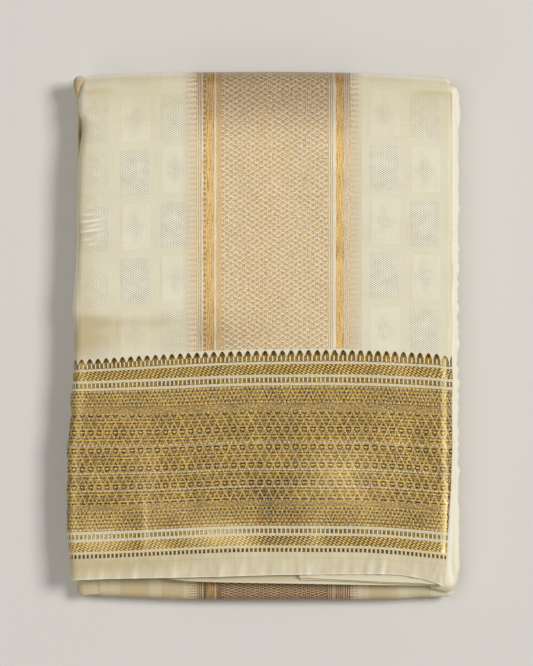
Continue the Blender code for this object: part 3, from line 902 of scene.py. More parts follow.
def twill_dashes(u, v, row, start):
    """Short dashes that step sideways row by row, above 0 where they're dark."""
    down = v - (row.start + row.end) / 2
    slant = (u + down * 0.48).wave(FIELD_WIDE / 2, start)
    broken = (u - down * 1.83).wave(FIELD_WIDE / 2, start)
    doubled = (u + down * 2.85).wave(FIELD_WIDE, start)
    return v.within(row, 0.3) * (slant * 0.8 + broken + doubled * 0.5)


def border_weave(weave, u, v):
    """Zari border. Returns where zari shows, its tone, where pale threads cover it, and its pale lines."""
    u = u + weave.gather
    grit = weave.noise(0.95, 1.5, 0.6, stretch=(0.8, 1.3, 1.0)).over(0.5, 0.3) - 0.5
    tone = 0.45 + grit * 0.40 + (weave.noise(0.09, 2.0) - 0.5) * 0.34
    # temple row: teeth with rounded shoulders and dark tips
    up_tooth = ((v - 0.7) / (TEMPLE_FOOT - 0.7)).clamped()
    width = up_tooth**0.5 * (TEMPLE_PITCH * 0.42) + grit * 0.35
    teeth = (width - (u - TEMPLE_START).off(TEMPLE_PITCH)).over(0.0, 0.4)
    teeth = teeth * v.within(Row(0.6, TEMPLE_FOOT), 0.3)
    tone = tone - teeth * (0.46 - up_tooth * up_tooth * 0.5)
    zari = (v.within(Row(TEMPLE_FOOT, BORDER_FOOT), 0.3) + teeth).clamped()
    # twills: short dashes in slanting rows
    first, second = (twill_dashes(u, v, row, start) for row, start in zip(TWILLS, TWILL_STARTS))
    slant = first + second
    dashes = (slant + grit * 0.8).over(0.55, 1.3)
    twill = v.in_any(TWILLS)
    tone = tone + twill * (0.20 - dashes * 0.56)
    pale = twill * (0 - slant).over(0.75, 0.9) * 0.55
    # ladders: cells that are dark at their sides, between pale bars
    cell = (u - LADDER_STARTS[0]).off(LADDER_PITCH).over(0.95, 0.5)
    tone = tone - v.in_any(LADDERS) * (0.26 - cell * 0.34)
    pale = pale + any_of(
        v.within(row, 0.3) * (1 - (u - start).off(LADDER_PITCH).over(0.42, 0.3))
        for row, start in zip(LADDERS, LADDER_STARTS)
    )
    # fields
    silk_grit = weave.noise(1.0, 1.0, 0.5, stretch=(1.3, 0.8, 1.0)).over(0.57, 0.12)
    main = v.within(Row(PALE_BANDS[0].end, PALE_BANDS[1].start), 0.3)
    net, dark, spots, wefts = main_field(u, v)
    tone = tone + main * (0.04 - dark * 0.40 + spots * 0.26 + wefts)
    pale = pale + main * (net * 0.44 + silk_grit * 0.24)
    small = v.in_any(SMALL_FIELDS)
    lattice = (u - RING_START).wave(FIELD_WIDE / 2) * v.wave(FIELD_TALL * 0.46, 24.0)
    pale = pale + small * ((0 - lattice).over(0.35, 0.5) * 0.26 + silk_grit * 0.3)
    fine = (u - RING_START).wave(FIELD_WIDE / 3) * v.wave(FIELD_TALL / 2.6, 23.0)
    grain = fine * 0.18 - lattice * 0.05 - lattice.over(0.4, 0.6) * 0.1 + v.wave(2.06, 23.2) * 0.2
    tone = tone + small * grain
    # pale rows
    pale = pale + v.in_any(HAIR_LINES, 0.4) * (0.25 + silk_grit * 0.4)
    pale = pale + v.in_any(PALE_BANDS, 0.6) * (0.10 + silk_grit * 0.35)
    lines = v.in_any(PALE_LINES)
    # Painted light brightens, or where negative darkens, the zari's tone.
    tone = (tone + weave.lustre * 0.6).clamped()
    pale = (pale + lines * (0.88 + grit * 0.3)).clamped()
    return zari, tone, pale, lines


def brocade_weave(weave, u, v, bold_shaded=False):
    """The band across the cloth. Returns where it shows, its tone, its pale threads and its teeth's edge."""
    # Small pieces in shade get bolder brocade, and a darker tone as painted shade.
    soft, deep, rough = (0.4, 0.8, 0.5) if bold_shaded else (0.7, 0.42, 1.3)
    grit = weave.noise(1.0, 1.5, 0.6).over(0.5, 0.3) - 0.5
    threads = weave.noise(0.8, 2.0, 0.6, stretch=(3.0, 0.12, 1.0)).over(0.5, 0.3) - 0.5
    lines = u.wave(1.15)
    tone = (0.40 if bold_shaded else 0.53) + grit * 0.34 + threads * 0.22
    # the ground of small bricks
    field = u.within(BROCADE, 0.3)
    along_u, down_v = u - BROCADE_START[0], v - BROCADE_START[1]
    doubled = along_u.wave(BROCADE_WIDE / 2) * down_v.wave(BROCADE_TALL / 2)
    across_u = along_u.wave(BROCADE_WIDE)
    dashes = across_u * down_v.wave(BROCADE_TALL) * 0.85 + doubled * 0.85 + grit * rough + lines * 0.25
    pale = field * dashes.over(0.46, soft) * 0.92
    under = across_u * down_v.wave(BROCADE_TALL, 0.8) + doubled * 0.5 + grit * 0.8
    tone = tone - field * under.over(0.5, 0.5) * deep
    # stripes along its sides
    gold = u.in_any(GOLD_STRIPES, 0.5)
    tone = tone + gold * (threads * 0.4 + lines * (0.45 if bold_shaded else 0.07))
    fine = u.in_any(FINE_STRIPES)
    tone = tone - fine * (lines.over(0.0, 0.6) * 0.3)
    pale = pale + fine * (0.3 - lines * 0.5).clamped()
    tone = tone - u.within(BAND_LADDER, 0.3) * v.wave(COMB_PITCH).over(0.0, 0.6) * 0.35
    pale = pale + u.in_any(WHITE_STRIPES) * (0.6 + threads * 0.5)
    # rows of dots that reach outwards along both sides
    reach = ((BAND.start - u) / LEFT_COMB).at_least((u - BAND.end) / RIGHT_COMB)
    tooth = 0.44 - v.off(COMB_PITCH) / COMB_PITCH * 1.7 - reach * 0.22 + u.wave(1.5) * 0.16 + grit * 0.7
    comb = tooth.over(0.0, 0.35) * reach.within(Row(-0.1, 0.9), 0.25) * (0.9 - reach * 0.55)
    body = u.within(BAND, 0.3)
    thin = gold * 0.26 + (1 - gold) * 0.14 if bold_shaded else (1 - gold) * 0.10
    pale = (pale + body * thin + comb * 0.12).clamped()
    shown, tone = (body + comb).clamped(), tone.clamped()
    halo = reach.within(Row(-0.1, 1.15), 0.3) * (0.42 + u.over(0.0, 1.0) * 0.2)
    return shown, tone, pale, halo


def zari_colours(weave, tone, palette, pale, pale_colour):
    """Zari from its dark threads to its brightest, with pale silk threads over it."""
    dark, middle, bright = palette
    low = weave.blend((tone * 2.0).clamped(), dark, middle)
    shown = weave.blend((tone * 2.0 - 1.0).clamped(), low, bright)
    return weave.blend(pale, shown, pale_colour)


def silk_material(name, colours, border=False, band=False, checks=True, tint=0.0, bold_shaded=False):
    """A piece's silk, with the parts of the weave that run over it. Small pieces in shade take painted shade
    colours and bolder brocade, and no painted highlight.
    """
    weave = Weave(name)
    weave.start()
    u, v = weave.u, weave.v
    cloud = weave.noise(0.05, 3.0)
    warp = weave.noise(1.1, 2.0, 0.6, stretch=(1.6, 0.06, 1.0)) - 0.5
    weft = weave.noise(1.1, 2.0, 0.6, stretch=(0.06, 1.6, 1.0)) - 0.5
    silk = weave.blend((cloud * 0.5 + tint + (warp + weft) * 0.9).clamped(), colours.silk, colours.silk_deep)
    height = (warp + weft) * 0.8 + v.wave(0.62) * 0.1
    rough = 0.5 + cloud * 0.08
    if checks:
        dotted, dots, satin, edge = check_weave(weave)
        silk = weave.blend(dotted * dots.over(0.23, 0.5), silk, colours.dot)
        silk = weave.blend(dotted * (0.18 - dots).over(0.0, 0.5) * 0.95, silk, colours.satin)
        silk = weave.blend(satin * (0.2 + warp * 1.2), silk, colours.satin)
        silk = weave.blend(edge * 0.12, silk, colours.fold_shade)
        height = height + dotted * dots * 0.6 + (dotted + satin) * 0.4
        rough = rough - satin * 0.08 + dotted * 0.05
    if border:
        # The selvedge is darkened towards the fold colour: painted shade over all of it, in streaks where it
        # puckers and deeper at its left, and a faint woven line.
        pucker_shade_streaks = weave.noise(0.3, 2.0, 0.6, stretch=(1.0, 0.3, 1.0)) - 0.5
        selvedge = v.over(BORDER_FOOT, 0.3) * (0.54 + v.within(Row(121.2, 121.9), 0.3) * 0.2 + pucker_shade_streaks * 0.8)
        left_selvedge_shade = (1 - u.over(-45.0, 60.0)) * v.within(Row(BORDER_FOOT, 126.0), 5.0) * 0.45
        silk = weave.blend((selvedge + left_selvedge_shade).clamped(), silk, colours.fold_shade)
    # Painted shade from the shade tone, towards the closed fold's shadow colour on small pieces in shade.
    silk = weave.blend(weave.shade, silk, colours.closed_shade if bold_shaded else colours.fold_shade)
    if border:
        # Painted shadow deep in the gap behind the left edge, where the shade tone passes 1.
        silk = weave.blend(weave.shade - 1, silk, colours.gap)
    # Painted highlight over the silk, except on small pieces in shade.
    if not bold_shaded:
        silk = weave.blend(weave.lustre * 0.95, silk, colours.glint)
    metallic = 0.0
    if band:
        shown, tone, pale, halo = brocade_weave(weave, u, v, bold_shaded)
        if border:
            shown = shown * (1 - v.over(0.0, 0.4))
            halo = halo * (1 - v.over(-0.2, 0.4))
        # Painted shade darkens the brocade and tints it, in the folds or, on small pieces in shade, on the
        # closed fold.
        tone = (tone - weave.shade * 0.35).clamped()
        dark = colours.band_dark_shaded if bold_shaded else colours.band_dark
        palette = (dark, colours.band, colours.band_bright)
        cloth = zari_colours(weave, tone, palette, pale, colours.band_thread)
        folded = colours.band_closed_shade if bold_shaded else colours.band_shade
        cloth = weave.blend((weave.shade * 1.7).clamped(), cloth, folded, "MULTIPLY")
        silk = weave.blend(halo, silk, colours.halo)
        silk = weave.blend(shown, silk, cloth)
        metallic = shown * (1 - pale) * 0.12
        height = height * (1 - shown) + shown * (tone * 0.8 + pale * 0.9)
        rough = rough * (1 - shown) + shown * 0.42
    if border:
        zari, tone, pale, lines = border_weave(weave, u, v)
        palette = (colours.zari_dark, colours.zari, colours.zari_bright)
        cloth = zari_colours(weave, tone, palette, pale, colours.pale_thread)
        # Painted highlight over the zari.
        cloth = weave.blend(weave.lustre * 0.22, cloth, colours.glint)
        silk = weave.blend(zari, silk, cloth)
        metallic = zari * (1 - pale) * 0.4 + metallic * (1 - zari)
        height = height * (1 - zari) + zari * (tone * 0.7 + pale * 0.8 + lines * 0.6)
        rough = rough * (1 - zari) + zari * (0.46 - tone * 0.12)
    return weave.finish(silk, rough, metallic, height)


# ---- Settings ----


def shade_property(name, description, display):
    return FloatVectorProperty(
        name=name, description=description, subtype="COLOR", size=4, min=0, max=1, default=colour(*display)
    )


class DhotiColours(bpy.types.PropertyGroup):
    silk: shade_property("Silk", "Cream of the plain silk", (227, 219, 192))
    silk_deep: shade_property("Deep silk", "Warmer cream in the cloudy parts", (214, 204, 172))
    satin: shade_property("Satin", "Plain satin checks", (240, 236, 217))
    dot: shade_property("Twill dots", "Shadow between the dots of the dotted checks", (150, 130, 80))
    fold_shade: shade_property("Fold", "Silk in the folds and edges", (196, 180, 140))
    # Painted shadow: silk deep in the gap behind the left edge
    gap: shade_property("Gap", "Silk deep in the gap behind the left edge", (112, 90, 58))
    closed_shade: shade_property("Closed fold", "Silk of the closed fold in shadow", (184, 163, 120))
    zari: shade_property("Zari", "Middle tone of the border's zari", (152, 115, 28))
    zari_dark: shade_property("Dark zari", "Zari where its threads dip", (56, 34, 2))
    zari_bright: shade_property("Bright zari", "Zari that catches the light", (248, 208, 98))
    pale_thread: shade_property("Pale thread", "Silk threads over the border", (218, 208, 175))
    band: shade_property("Brocade", "Ground of the brocade band", (214, 176, 114))
    band_dark: shade_property("Dark brocade", "Dark threads of the brocade band", (142, 104, 50))
    # Painted shade: dark brocade threads as they look in shadow on the closed fold
    band_dark_shaded: shade_property("Brocade in shadow", "Dark threads on the closed fold", (64, 42, 22))
    band_bright: shade_property("Bright brocade", "Bright zari of the brocade band", (240, 202, 128))
    band_thread: shade_property("Brocade thread", "Pale threads of the brocade band", (232, 226, 208))
    band_shade: shade_property("Brocade in the folds", "Tint of the band in the folds", (174, 162, 153))
    # Painted shade: the band's tint in shadow on the closed fold
    band_closed_shade: shade_property("Brocade below", "Tint of the band on the closed fold", (216, 192, 162))
    # The colour that every painted highlight brightens towards
    glint: shade_property("Glint", "Silk along the crest of a wrinkle", (250, 246, 230))
    halo: shade_property("Comb edge", "Silk beside the brocade band's teeth", (209, 194, 168))
    floor: shade_property("Floor", "The floor", (214, 210, 203))


def length_property(name, description, default, min=0.0002, max=4.0):
    return FloatProperty(
        name=name, description=description, default=default, min=min, max=max, unit="LENGTH"
    )


class DhotiCloth(bpy.types.PropertyGroup):
    thickness: length_property("Cloth", "Thickness of one modelled layer of cloth", 0.0006, max=0.001)
    edge: length_property("Selvedge", "Thickness of one selvedge layer", 0.00045, max=0.0006)


def light_property(name, description, power):
    return FloatProperty(name=name, description=description, default=power, min=0, unit="POWER")


class DhotiStage(bpy.types.PropertyGroup):
    key: light_property("Key light", "Power of the key light", 179.0)
    top: light_property("Top light", "Power of the overhead light", 12.0)
    fill: light_property("Fill light", "Power of the fill light", 10.0)
    sky: FloatProperty(
        name="Surroundings",
        description="Brightness of the surroundings",
        default=0.21,
        min=0,
    )
    height: length_property("Camera height", "Height of the camera over the floor", 2.0, min=0.5)


# ---- Pieces ----

UNDERSIDE = 0.004  # how high the pack's underside reaches at its edges
DEEPEST = 2  # shade of the silk deep in a gap


def shade_round(way):
    """Painted shade on the silk from the flat top into the last fold and under it."""
    share, turn, _ = np.array(way).T
    under = 0.8 * rise(turn, 80, 50) * (1 - 0.5 * rise(turn, 130, 50))
    near = 0.36 * np.where(turn == 0, rise(share, 0.88, 0.12), 1.0)
    return np.maximum(under, near)[:, None]


def closed_shade(way):
    """Painted shade on the lower half towards the closed end."""
    share, turn, _ = np.array(way).T
    return ((turn == 180) * 0.55 * ease((0.10 - share) / 0.08))[:, None]


def top_shade(x, y):
    """Painted shade on the top face beside its edges, at its top corners, in the dent and along its fine
    creases and wrinkles.
    """
    left = rise(-x, 0.094, 0.012) * (0.40 + 0.2 * bell(y, 0.062, 0.012)) * (1 - rise(y, 0.122, 0.006))
    right = 0.22 * rise(x, 0.1045, 0.010)
    corners = 0.45 * rise(np.abs(x), 0.082, 0.016) * rise(y, 0.138, 0.006)
    dent = bell(y, 0.0078, 0.0028) * (0.42 * rise(-x, 0.035, 0.03) + 0.4 * rise(-x, 0.085, 0.015))
    below_dent = bell(y, -0.0005, 0.0110) * (0.30 * rise(-x, -0.03, 0.1) + 0.45 * rise(-x, 0.078, 0.018))
    above_tips = rise(y - smooth(TEMPLE_TIPS, x), -0.002, 0.002)
    lines = ridge_height(CREASE_SHADE_LINES, x, y) + 0.35 * ridge_height(WRINKLES, x, y + 0.0011) / 0.0006
    return left + right + corners + dent + below_dent * above_tips + lines


def top_glint(x, y):
    """Painted highlight along the top face's wrinkles, puckers and left edge."""
    wrinkles = ridge_height(WRINKLES, x, y - 0.0002) / 0.00055
    puckers = 1.3 * pucker_height(x + 0.0006, y + 0.003)
    left_edge = 0.30 * rise(-x, 0.1080, 0.0012) * rise(y, 0.0, 0.01)
    beside_ear = 0.50 * bell(x, -0.1063, 0.0018) * rise(y, 0.122, 0.008)
    return wrinkles + puckers + left_edge + beside_ear


def rim_glint(way):
    """Painted highlight along the free edge and over the crest of the last fold."""
    share, turn, _ = np.array(way).T
    free_edge = (share == 0) & (turn == 0)
    return np.where(free_edge, 0.5, 0.6 * rise(turn, 40, 25) * (turn < 100))[:, None]


def gap_shade(x, y):
    """Where painted shadow darkens the gap behind the left edge."""
    return rise(y, 0.1140, 0.004) * (1 - rise(y, 0.1280, 0.003)) * bell(x, -0.1081, 0.0014, power=4)


class DHOTI_OT_top_cloth(bpy.types.Operator):
    """The outermost stretch of cloth, from the free selvedge over the last fold to the closed end"""

    bl_idname = "dhoti.top_cloth"
    bl_label = "Top cloth"

    def execute(self, context):
        colours, cloth = context.scene.dhoti_colours, context.scene.dhoti_cloth
        way = stations(FINE_SHARES, turn_steps=18, lower_steps=12, end_steps=5)
        way = list(dict.fromkeys(way))  # the flat's last station and the turn's first are the same
        grid = swept(way, outer_section)
        first, last = 1 + RIGHT_ARC, RIGHT_ARC + len(FLAT_COLUMNS)
        u, v = section_u(grid, first, last), strap_v(grid, way)
        upper = np.array([s.turn == 0 for s in way])[:, None]
        x, y, z = np.moveaxis(grid, -1, 0)
        # Painted light on the zari, the wrinkles, the puckers and the rims; painted shade round the fold,
        # towards the closed end and over the top face; painted shadow in the gap behind the left edge.
        lustre = np.where(upper, painted_light_at(x, y) + top_glint(x, y), 0.0) + rim_glint(way)
        shade = shade_round(way) + closed_shade(way) + upper * top_shade(x, y)
        shade = np.clip(shade, 0, 1)
        shade = shade + (z > UNDERSIDE) * gap_shade(x, y) * (DEEPEST - shade)
        mesh = Cloth()
        mesh.add_sheet(grid, cloth.thickness, u, v, lustre, shade, smooth(GATHER, x))
        material = silk_material("zari_bordered_silk", colours, border=True, band=True)
        piece = mesh.make("top_cloth", material, "outer_sheet")
        return {"FINISHED"}


class DHOTI_OT_second_bundle(bpy.types.Operator):
    """The second bundle of folds at the right, which shows as an edge all the way round"""

    bl_idname = "dhoti.second_bundle"
    bl_label = "Second bundle"

    front_shares = (-0.013, -0.0125, -0.011, -0.008, -0.004, 0.002)  # stations of the pinched end
    pinch_end = 0.05  # the share where the bundle is fully open
    pinched = 0.16  # how open the front end is
    pucker = 0.0007
    flare = 0.0022

    def section(self, station):
        """The bundle's section, pinched together and puckered at its front end."""
        section, share = inner_section(station), station.share
        if station.turn != 0 or share > self.pinch_end:
            return section
        open_share = self.pinched + (1 - self.pinched) * rise(share, self.front_shares[0], 0.021) ** 0.5
        middle = section[:, 1].mean()
        section[:, 1] = middle + (section[:, 1] - middle) * open_share
        pucker = self.pucker * math.sin(share / 0.0042) * (1 - rise(share, 0.01, 0.04))
        flare = self.flare * (1 - ease(share / self.pinch_end))
        section[:, 0] += rise(section[:, 0], RIGHT_TUCK, 0.006) * (pucker + flare)
        return section

    def execute(self, context):
        colours, cloth = context.scene.dhoti_colours, context.scene.dhoti_cloth
        way = stations(PLAIN_SHARES, turn_steps=20, lower_steps=110, end_steps=6, first=0.006)
        way[0] = way[0]._replace(share=0.008)
        way = [Station(share, 0, 0.0) for share in self.front_shares] + way
        grid = swept(way, self.section)
        down, along = cloth_lengths(grid)
        mesh = Cloth()
        share, turn, _ = np.array(way).T[..., None]
        # Painted shade round the fold, towards the closed end and at the pinched front; painted highlight on
        # the right side away from the front.
        front = (turn == 0) * ease((0.004 - share) / 0.012)
        shade = shade_round(way) * 0.25 + closed_shade(way) * 0.9 + 0.75 * front
        right_side_highlight = 0.45 * rise(grid[..., 0], 0.100, 0.004) * (1 - front)
        u = BUNDLE_U - along / MM
        mesh.add_sheet(grid, cloth.thickness, u, -down / MM, right_side_highlight, np.clip(shade, 0, 1))
        # The bundle's silk is kept at its palest cream, as painted highlight.
        material = silk_material("plain_silk", colours, checks=False, tint=-0.45)
        piece = mesh.make("second_bundle", material, "inner_fold")
        return {"FINISHED"}


class DHOTI_OT_closed_fold(bpy.types.Operator):
    """The sheet on top of the lower half, which turns down over its closed end"""

    bl_idname = "dhoti.closed_fold"
    bl_label = "Closed fold"

    flat_steps, round_steps, across_steps = 18, 8, 170
    overlap = 0.0001  # past the tucks, so that the sheet meets the top cloth

    def check_tone(self, columns):
        """Extra shade of the checks beside the brocade band."""
        u = columns / MM
        bars = (u - CHECK_START[0] - (u > 0) * CHECK_SHIFT) % CHECK_WIDE
        beside = (u < BAND.start - LEFT_COMB) | (u > BAND.end + RIGHT_COMB)
        return np.where(beside, np.where(bars < CHECK_PATCH[0], 0.20, -0.10), 0.0)

    def execute(self, context):
        colours, cloth = context.scene.dhoti_colours, context.scene.dhoti_cloth
        way = [Station(share, 180, 0.0) for share in np.linspace(FOLD_SHEET_DEPTH, 0.0, self.flat_steps)]
        way += [Station(0.0, 180, (step + 1) / self.round_steps) for step in range(self.round_steps)]
        columns = np.linspace(LEFT_TUCK - self.overlap, RIGHT_TUCK + self.overlap, self.across_steps)
        rows = []
        for station in way:
            angle = station.rounding * math.pi / 2
            y = flat_y(station, columns) - END_RADIUS * math.sin(angle)
            n = low_height(station) + END_RADIUS * (1 - math.cos(angle))
            rows.append(np.stack((columns, y, np.full_like(columns, MID - n)), axis=-1))
        grid = np.array(rows)
        down, along = cloth_lengths(grid)
        # Painted shade, deeper where the sheet turns down and lighter towards its ends, over the checks'
        # darker and lighter bars.
        shade = np.array([0.58 + 0.42 * s.rounding for s in way])[:, None]
        ends = 0.55 * rise(-columns, 0.086, 0.009) + 0.50 * rise(columns, 0.070, 0.015)
        shade = (shade + self.check_tone(columns)) * (1 - ends)
        mesh = Cloth()
        u, v = columns / MM, CLOSED_V + CLOSED_TIGHTNESS * down / MM
        mesh.add_sheet(grid, cloth.thickness, u, v, 0.0, shade, outward=-1)
        # Painted shade: the closed fold takes the deeper cream and the colours of small pieces in shade.
        material = silk_material("brocade_banded_silk", colours, band=True, checks=False, tint=0.8, bold_shaded=True)
        piece = mesh.make("closed_fold", material, "bottom_fold")
        return {"FINISHED"}


class DHOTI_OT_selvedges(bpy.types.Operator):
    """The edges of inner layers that reach out past the free edge"""

    bl_idname = "dhoti.selvedges"
    bl_label = "Inner selvedges"

    deep_steps, across_steps = 20, 130
    inset, inset_step = 0.0008, 0.0003  # how far a layer's second sheet lies inside its first
    sheet_gap = 0.00008
    unevenness = 0.0007
    droop = 0.00025

    def execute(self, context):
        colours, cloth = context.scene.dhoti_colours, context.scene.dhoti_cloth
        material = silk_material("selvedge_silk", colours, checks=False, tint=0.05)
        over = FREE_EDGE
        for order, edge in enumerate(SELVEDGE_EDGES, start=1):
            mesh = Cloth()
            for sheet in (0, 1):
                inset = sheet * (self.inset + self.inset_step * order)
                depth = order * STEP + sheet * (cloth.edge + self.sheet_gap)
                columns = np.linspace(edge[0][0] + inset, LAYER_CORNER - inset, self.across_steps)
                free = flat_y(Station(0.0, 0, 0.0), columns)
                inside = flat_y(Station(LAYER_DEPTH, 0, 0.0), columns)
                inside = mix(inside, free + 0.0025, ease((columns - LAYER_RIGHT + 0.002) / 0.002))
                seed = 20 + 2 * order + sheet
                wander = np.array([ripple(x, seed, self.unevenness) for x in columns])
                front = smooth(edge, columns) + inset + wander * sheet
                front = np.minimum(front, free + 0.0004)
                rows = []
                for share in np.linspace(0, 1, self.deep_steps) ** 1.8:
                    y = mix(front, inside, share)
                    droop = self.droop * ease((free - y) / 0.004)
                    z = MID + upper_height(columns, np.maximum(y, free)) - depth - droop
                    rows.append(np.stack((columns, y, z), axis=-1))
                grid = np.array(rows)
                down, along = cloth_lengths(grid)
                # Painted shadow under the edge of the layer above, fading away from it.
                out = np.minimum(grid[..., 1] - smooth(over, columns) + 0.0006, 0.0)
                tone = 0.75 * np.exp(np.maximum(out, -0.004) / 0.0007)
                mesh.add_sheet(grid, cloth.edge, columns / MM, SELVEDGE_V - down / MM, 0.0, tone)
            over = edge
            piece = mesh.make(f"selvedge_{order}", material, f"selvedge_layer_{order}")
        return {"FINISHED"}


class DHOTI_OT_corner(bpy.types.Operator):
    """The fold corner that stands out as a small ear at the top left"""

    bl_idname = "dhoti.corner"
    bl_label = "Fold corner"

    def execute(self, context):
        colours, cloth = context.scene.dhoti_colours, context.scene.dhoti_cloth
        table = np.array(EAR)
        angles = np.radians(np.linspace(-145, 145, EAR_STEPS))
        folds = 1 - 0.10 * bell(angles, 0.75, 0.14) - 0.07 * bell(angles, 0.25, 0.12)
        rows = []
        for y in mix(EAR[-1][0], EAR[0][0], np.linspace(0, 1, EAR_STEPS) ** 1.4):
            side, wide, high = (smooth(table[:, (0, column)], y) for column in (1, 2, 3))
            x = side + wide - wide * np.cos(angles) * folds
            z = EAR_LEVEL + high * np.sin(angles) * folds
            rows.append(np.stack((x, np.full_like(x, y), z), axis=-1))
        grid = np.array(rows)
        down, along = cloth_lengths(grid)
        mesh = Cloth()
        # Painted shade: darker towards the ear's right side and in its folds, lighter along its top; the ear
        # takes the colours of small pieces in shade.
        shade = (0.05 + 0.90 * rise(angles, -0.7, 1.0) + 2.0 * (1 - folds))[None, :]
        shade = shade * (0.25 + 0.75 * ease(np.linspace(-0.05, 1, EAR_STEPS) / 0.35)[:, None])
        mesh.add_sheet(grid, cloth.thickness * 0.5, EAR_U - along / MM, -down / MM, 0.0, shade)
        material = silk_material("corner_silk", colours, checks=False, tint=0.3, bold_shaded=True)
        piece = mesh.make("corner_ear", material, "corner_fold")
        return {"FINISHED"}


def layers_drop(station):
    """How much lower the hidden layers lie where the inner selvedges are over them."""
    if station.turn != 0:
        return 0.0
    inward = rise(station.share, LAYER_DEPTH, CORE_RELEASE - LAYER_DEPTH)
    return len(SELVEDGE_EDGES) * STEP * (1 - inward)


def core_columns(station):
    """x places across the hidden layers, the same number at every station."""
    start, end = flat_ends(station)
    inner = mix(RIGHT_SLOT - SHELF_STEP - SHELF_SLOPE, LEFT_SLOT + SHELF_STEP, CORE_COLUMNS)
    return np.r_[start, RIGHT_SLOT - SHELF_STEP, inner, end]


class DHOTI_OT_folded_layers(bpy.types.Operator):
    """All the layers inside, whose edges show at the free end and whose folds show at the closed one"""

    bl_idname = "dhoti.folded_layers"
    bl_label = "Folded layers"

    # Free end and closed end. Columns: row of the grid, layers, how far each one bulges, seed
    ends = ((0, 24, 0.0014, 40), (-1, 9, 0.0027, 80))
    left_folds, right_folds = 10, 5
    layer_steps = 6

    def section(self, station):
        x, low = core_columns(station), low_height(station)
        n = height(station, x) - STEP
        n[2:-1] -= layers_drop(station)
        flat = np.stack((x, n), axis=-1)
        inner = low
        if station.turn == 180 and station.share < FOLD_SHEET_DEPTH + 0.02:
            inner = low + STEP + FOLD_SHEET_SEAT
        left_high, right_high = n[-1] + STEP, n[0] + STEP
        left = folded_edge(left_x(station), left_reach(station), low, left_high, STEP, 1, CORE_ARC)
        upper = folded_edge(right_x(station), RIGHT_REACH, SPLIT + GAP / 2, right_high, STEP, -1, CORE_ARC)
        lower = folded_edge(inner_right_x(station), RIGHT_REACH, low, SPLIT - GAP / 2, STEP, -1, CORE_ARC)
        back = np.r_[LEFT_SLOT, x[-2:0:-1], RIGHT_SLOT]
        return np.concatenate(
            (
                flat,
                left[1:],
                [(LEFT_SLOT, left[-1][1])],
                np.stack((back, np.full_like(back, inner)), axis=-1),
                [(RIGHT_SLOT, lower[-1][1])],
                lower[::-1],
                [(RIGHT_SLOT, lower[0][1]), (RIGHT_SLOT, upper[-1][1])],
                upper[::-1][:-1],
            )
        )

    def execute(self, context):
        colours = context.scene.dhoti_colours
        way = stations(PLAIN_SHARES, turn_steps=16, lower_steps=30, first=0.012)
        way[0] = way[0]._replace(share=0.012)
        grid = swept(way, self.section)
        grid = np.concatenate((grid, grid[:, :1]), axis=1)
        mesh = Cloth()
        # Painted shade, at half strength over the hidden layers.
        numbers = mesh.add_grid(grid, grid[..., 0] / MM, 0.0, 0.0, 0.5)
        mesh.add_faces(numbers, True)
        for row, *layering in self.ends:
            self.close_end(mesh, grid[row], *layering)
        material = silk_material("layered_silk", colours, band=True, checks=False, tint=0.4)
        mesh.make("folded_layers", material, "hidden_layers")
        return {"FINISHED"}

    def close_end(self, mesh, ring, layers, depth, seed):
        """Closes one end: flat layers in the middle, and nested folds in the bundles at its sides."""
        count = len(CORE_COLUMNS)
        top, left_end = ring[2 : 2 + count], 2 + count
        foot = left_end + CORE_ARC + 3  # the first of the middle's places on the inner face
        bottom = ring[foot : foot + count][::-1]
        self.add_layers(mesh, top, bottom, layers, depth, seed)
        self.add_layers(mesh, ring[[1, 2]], ring[[foot + count, foot + count - 1]], layers, 0.0, seed)
        left = ring[left_end - 1 : foot + 1]
        inmost = np.maximum(left[:, 0], ring[left_end][0])
        middle = (ring[left_end][2] + ring[foot - 2][2]) / 2
        heart = self.heart(left, inmost, middle)
        self.add_layers(mesh, left, heart, self.left_folds, depth * 0.6, seed + 50)
        slot = foot + count + 1  # where the two bundles at the right start
        parting = slot + CORE_ARC + 4  # where the upper one of them starts
        upper = np.concatenate((ring[parting:-1], ring[[0, 1]]))
        lower = ring[slot:parting]
        for contour, offset in ((upper, 60), (lower, 70)):
            inmost = np.minimum(contour[:, 0], contour[:, 0].max() - RIGHT_REACH + STEP)
            middle = (contour[:, 2].max() + contour[:, 2].min()) / 2
            heart = self.heart(contour, inmost, middle)
            self.add_layers(mesh, contour, heart, self.right_folds, depth * 0.5, seed + offset)
        self.add_layers(mesh, ring[[slot, parting]], ring[[slot - 1, 1]], 2, 0.0, seed)

    def heart(self, contour, x, z):
        """The line that a bundle's folds close on."""
        return np.stack((x, contour[:, 1], np.full(len(contour), z)), axis=-1)

    def add_layers(self, mesh, outer, inner, layers, depth, seed):
        """Thin layers between two lines, each with its own unevenness and a rounded edge."""
        steps = self.layer_steps
        ends = np.linspace(0, 1, len(outer))
        side = ease(np.minimum(ends, 1 - ends) / 0.02)
        rows, tones = [], []
        for level in range(layers * steps + 1):
            layer, within = divmod(level, steps)
            bulge = math.sin(math.pi * within / steps) ** 0.6 if within else 0.0
            point = mix(outer, inner, level / (layers * steps))
            wander = np.array([ripple(x, seed + layer, LAYER_RIPPLE) for x in outer[:, 0]])
            wander = wander * min(1.0, depth / 0.0010)
            point[:, 1] -= side * (depth * (0.75 + 0.25 * math.sin(layer * 1.7)) + wander) * bulge
            rows.append(point)
            # Painted shade between the layers, lighter where each one bulges out.
            tones.append(0.9 - 0.75 * bulge)
        grid = np.array(rows)
        numbers = mesh.add_grid(grid, grid[..., 0] / MM, 0.0, 0.0, np.array(tones)[:, None])
        mesh.add_faces(numbers, bool(grid_normals(grid)[..., 1].mean() > 0))


VIEW_CENTRE = (0.0018, 0.0017)
VIEW_WIDTH = 0.313  # how much the camera sees at its level, near the pack's top
VIEW_LEVEL = 0.02
FLOOR_LEVEL = -0.0001  # just clear of the pack


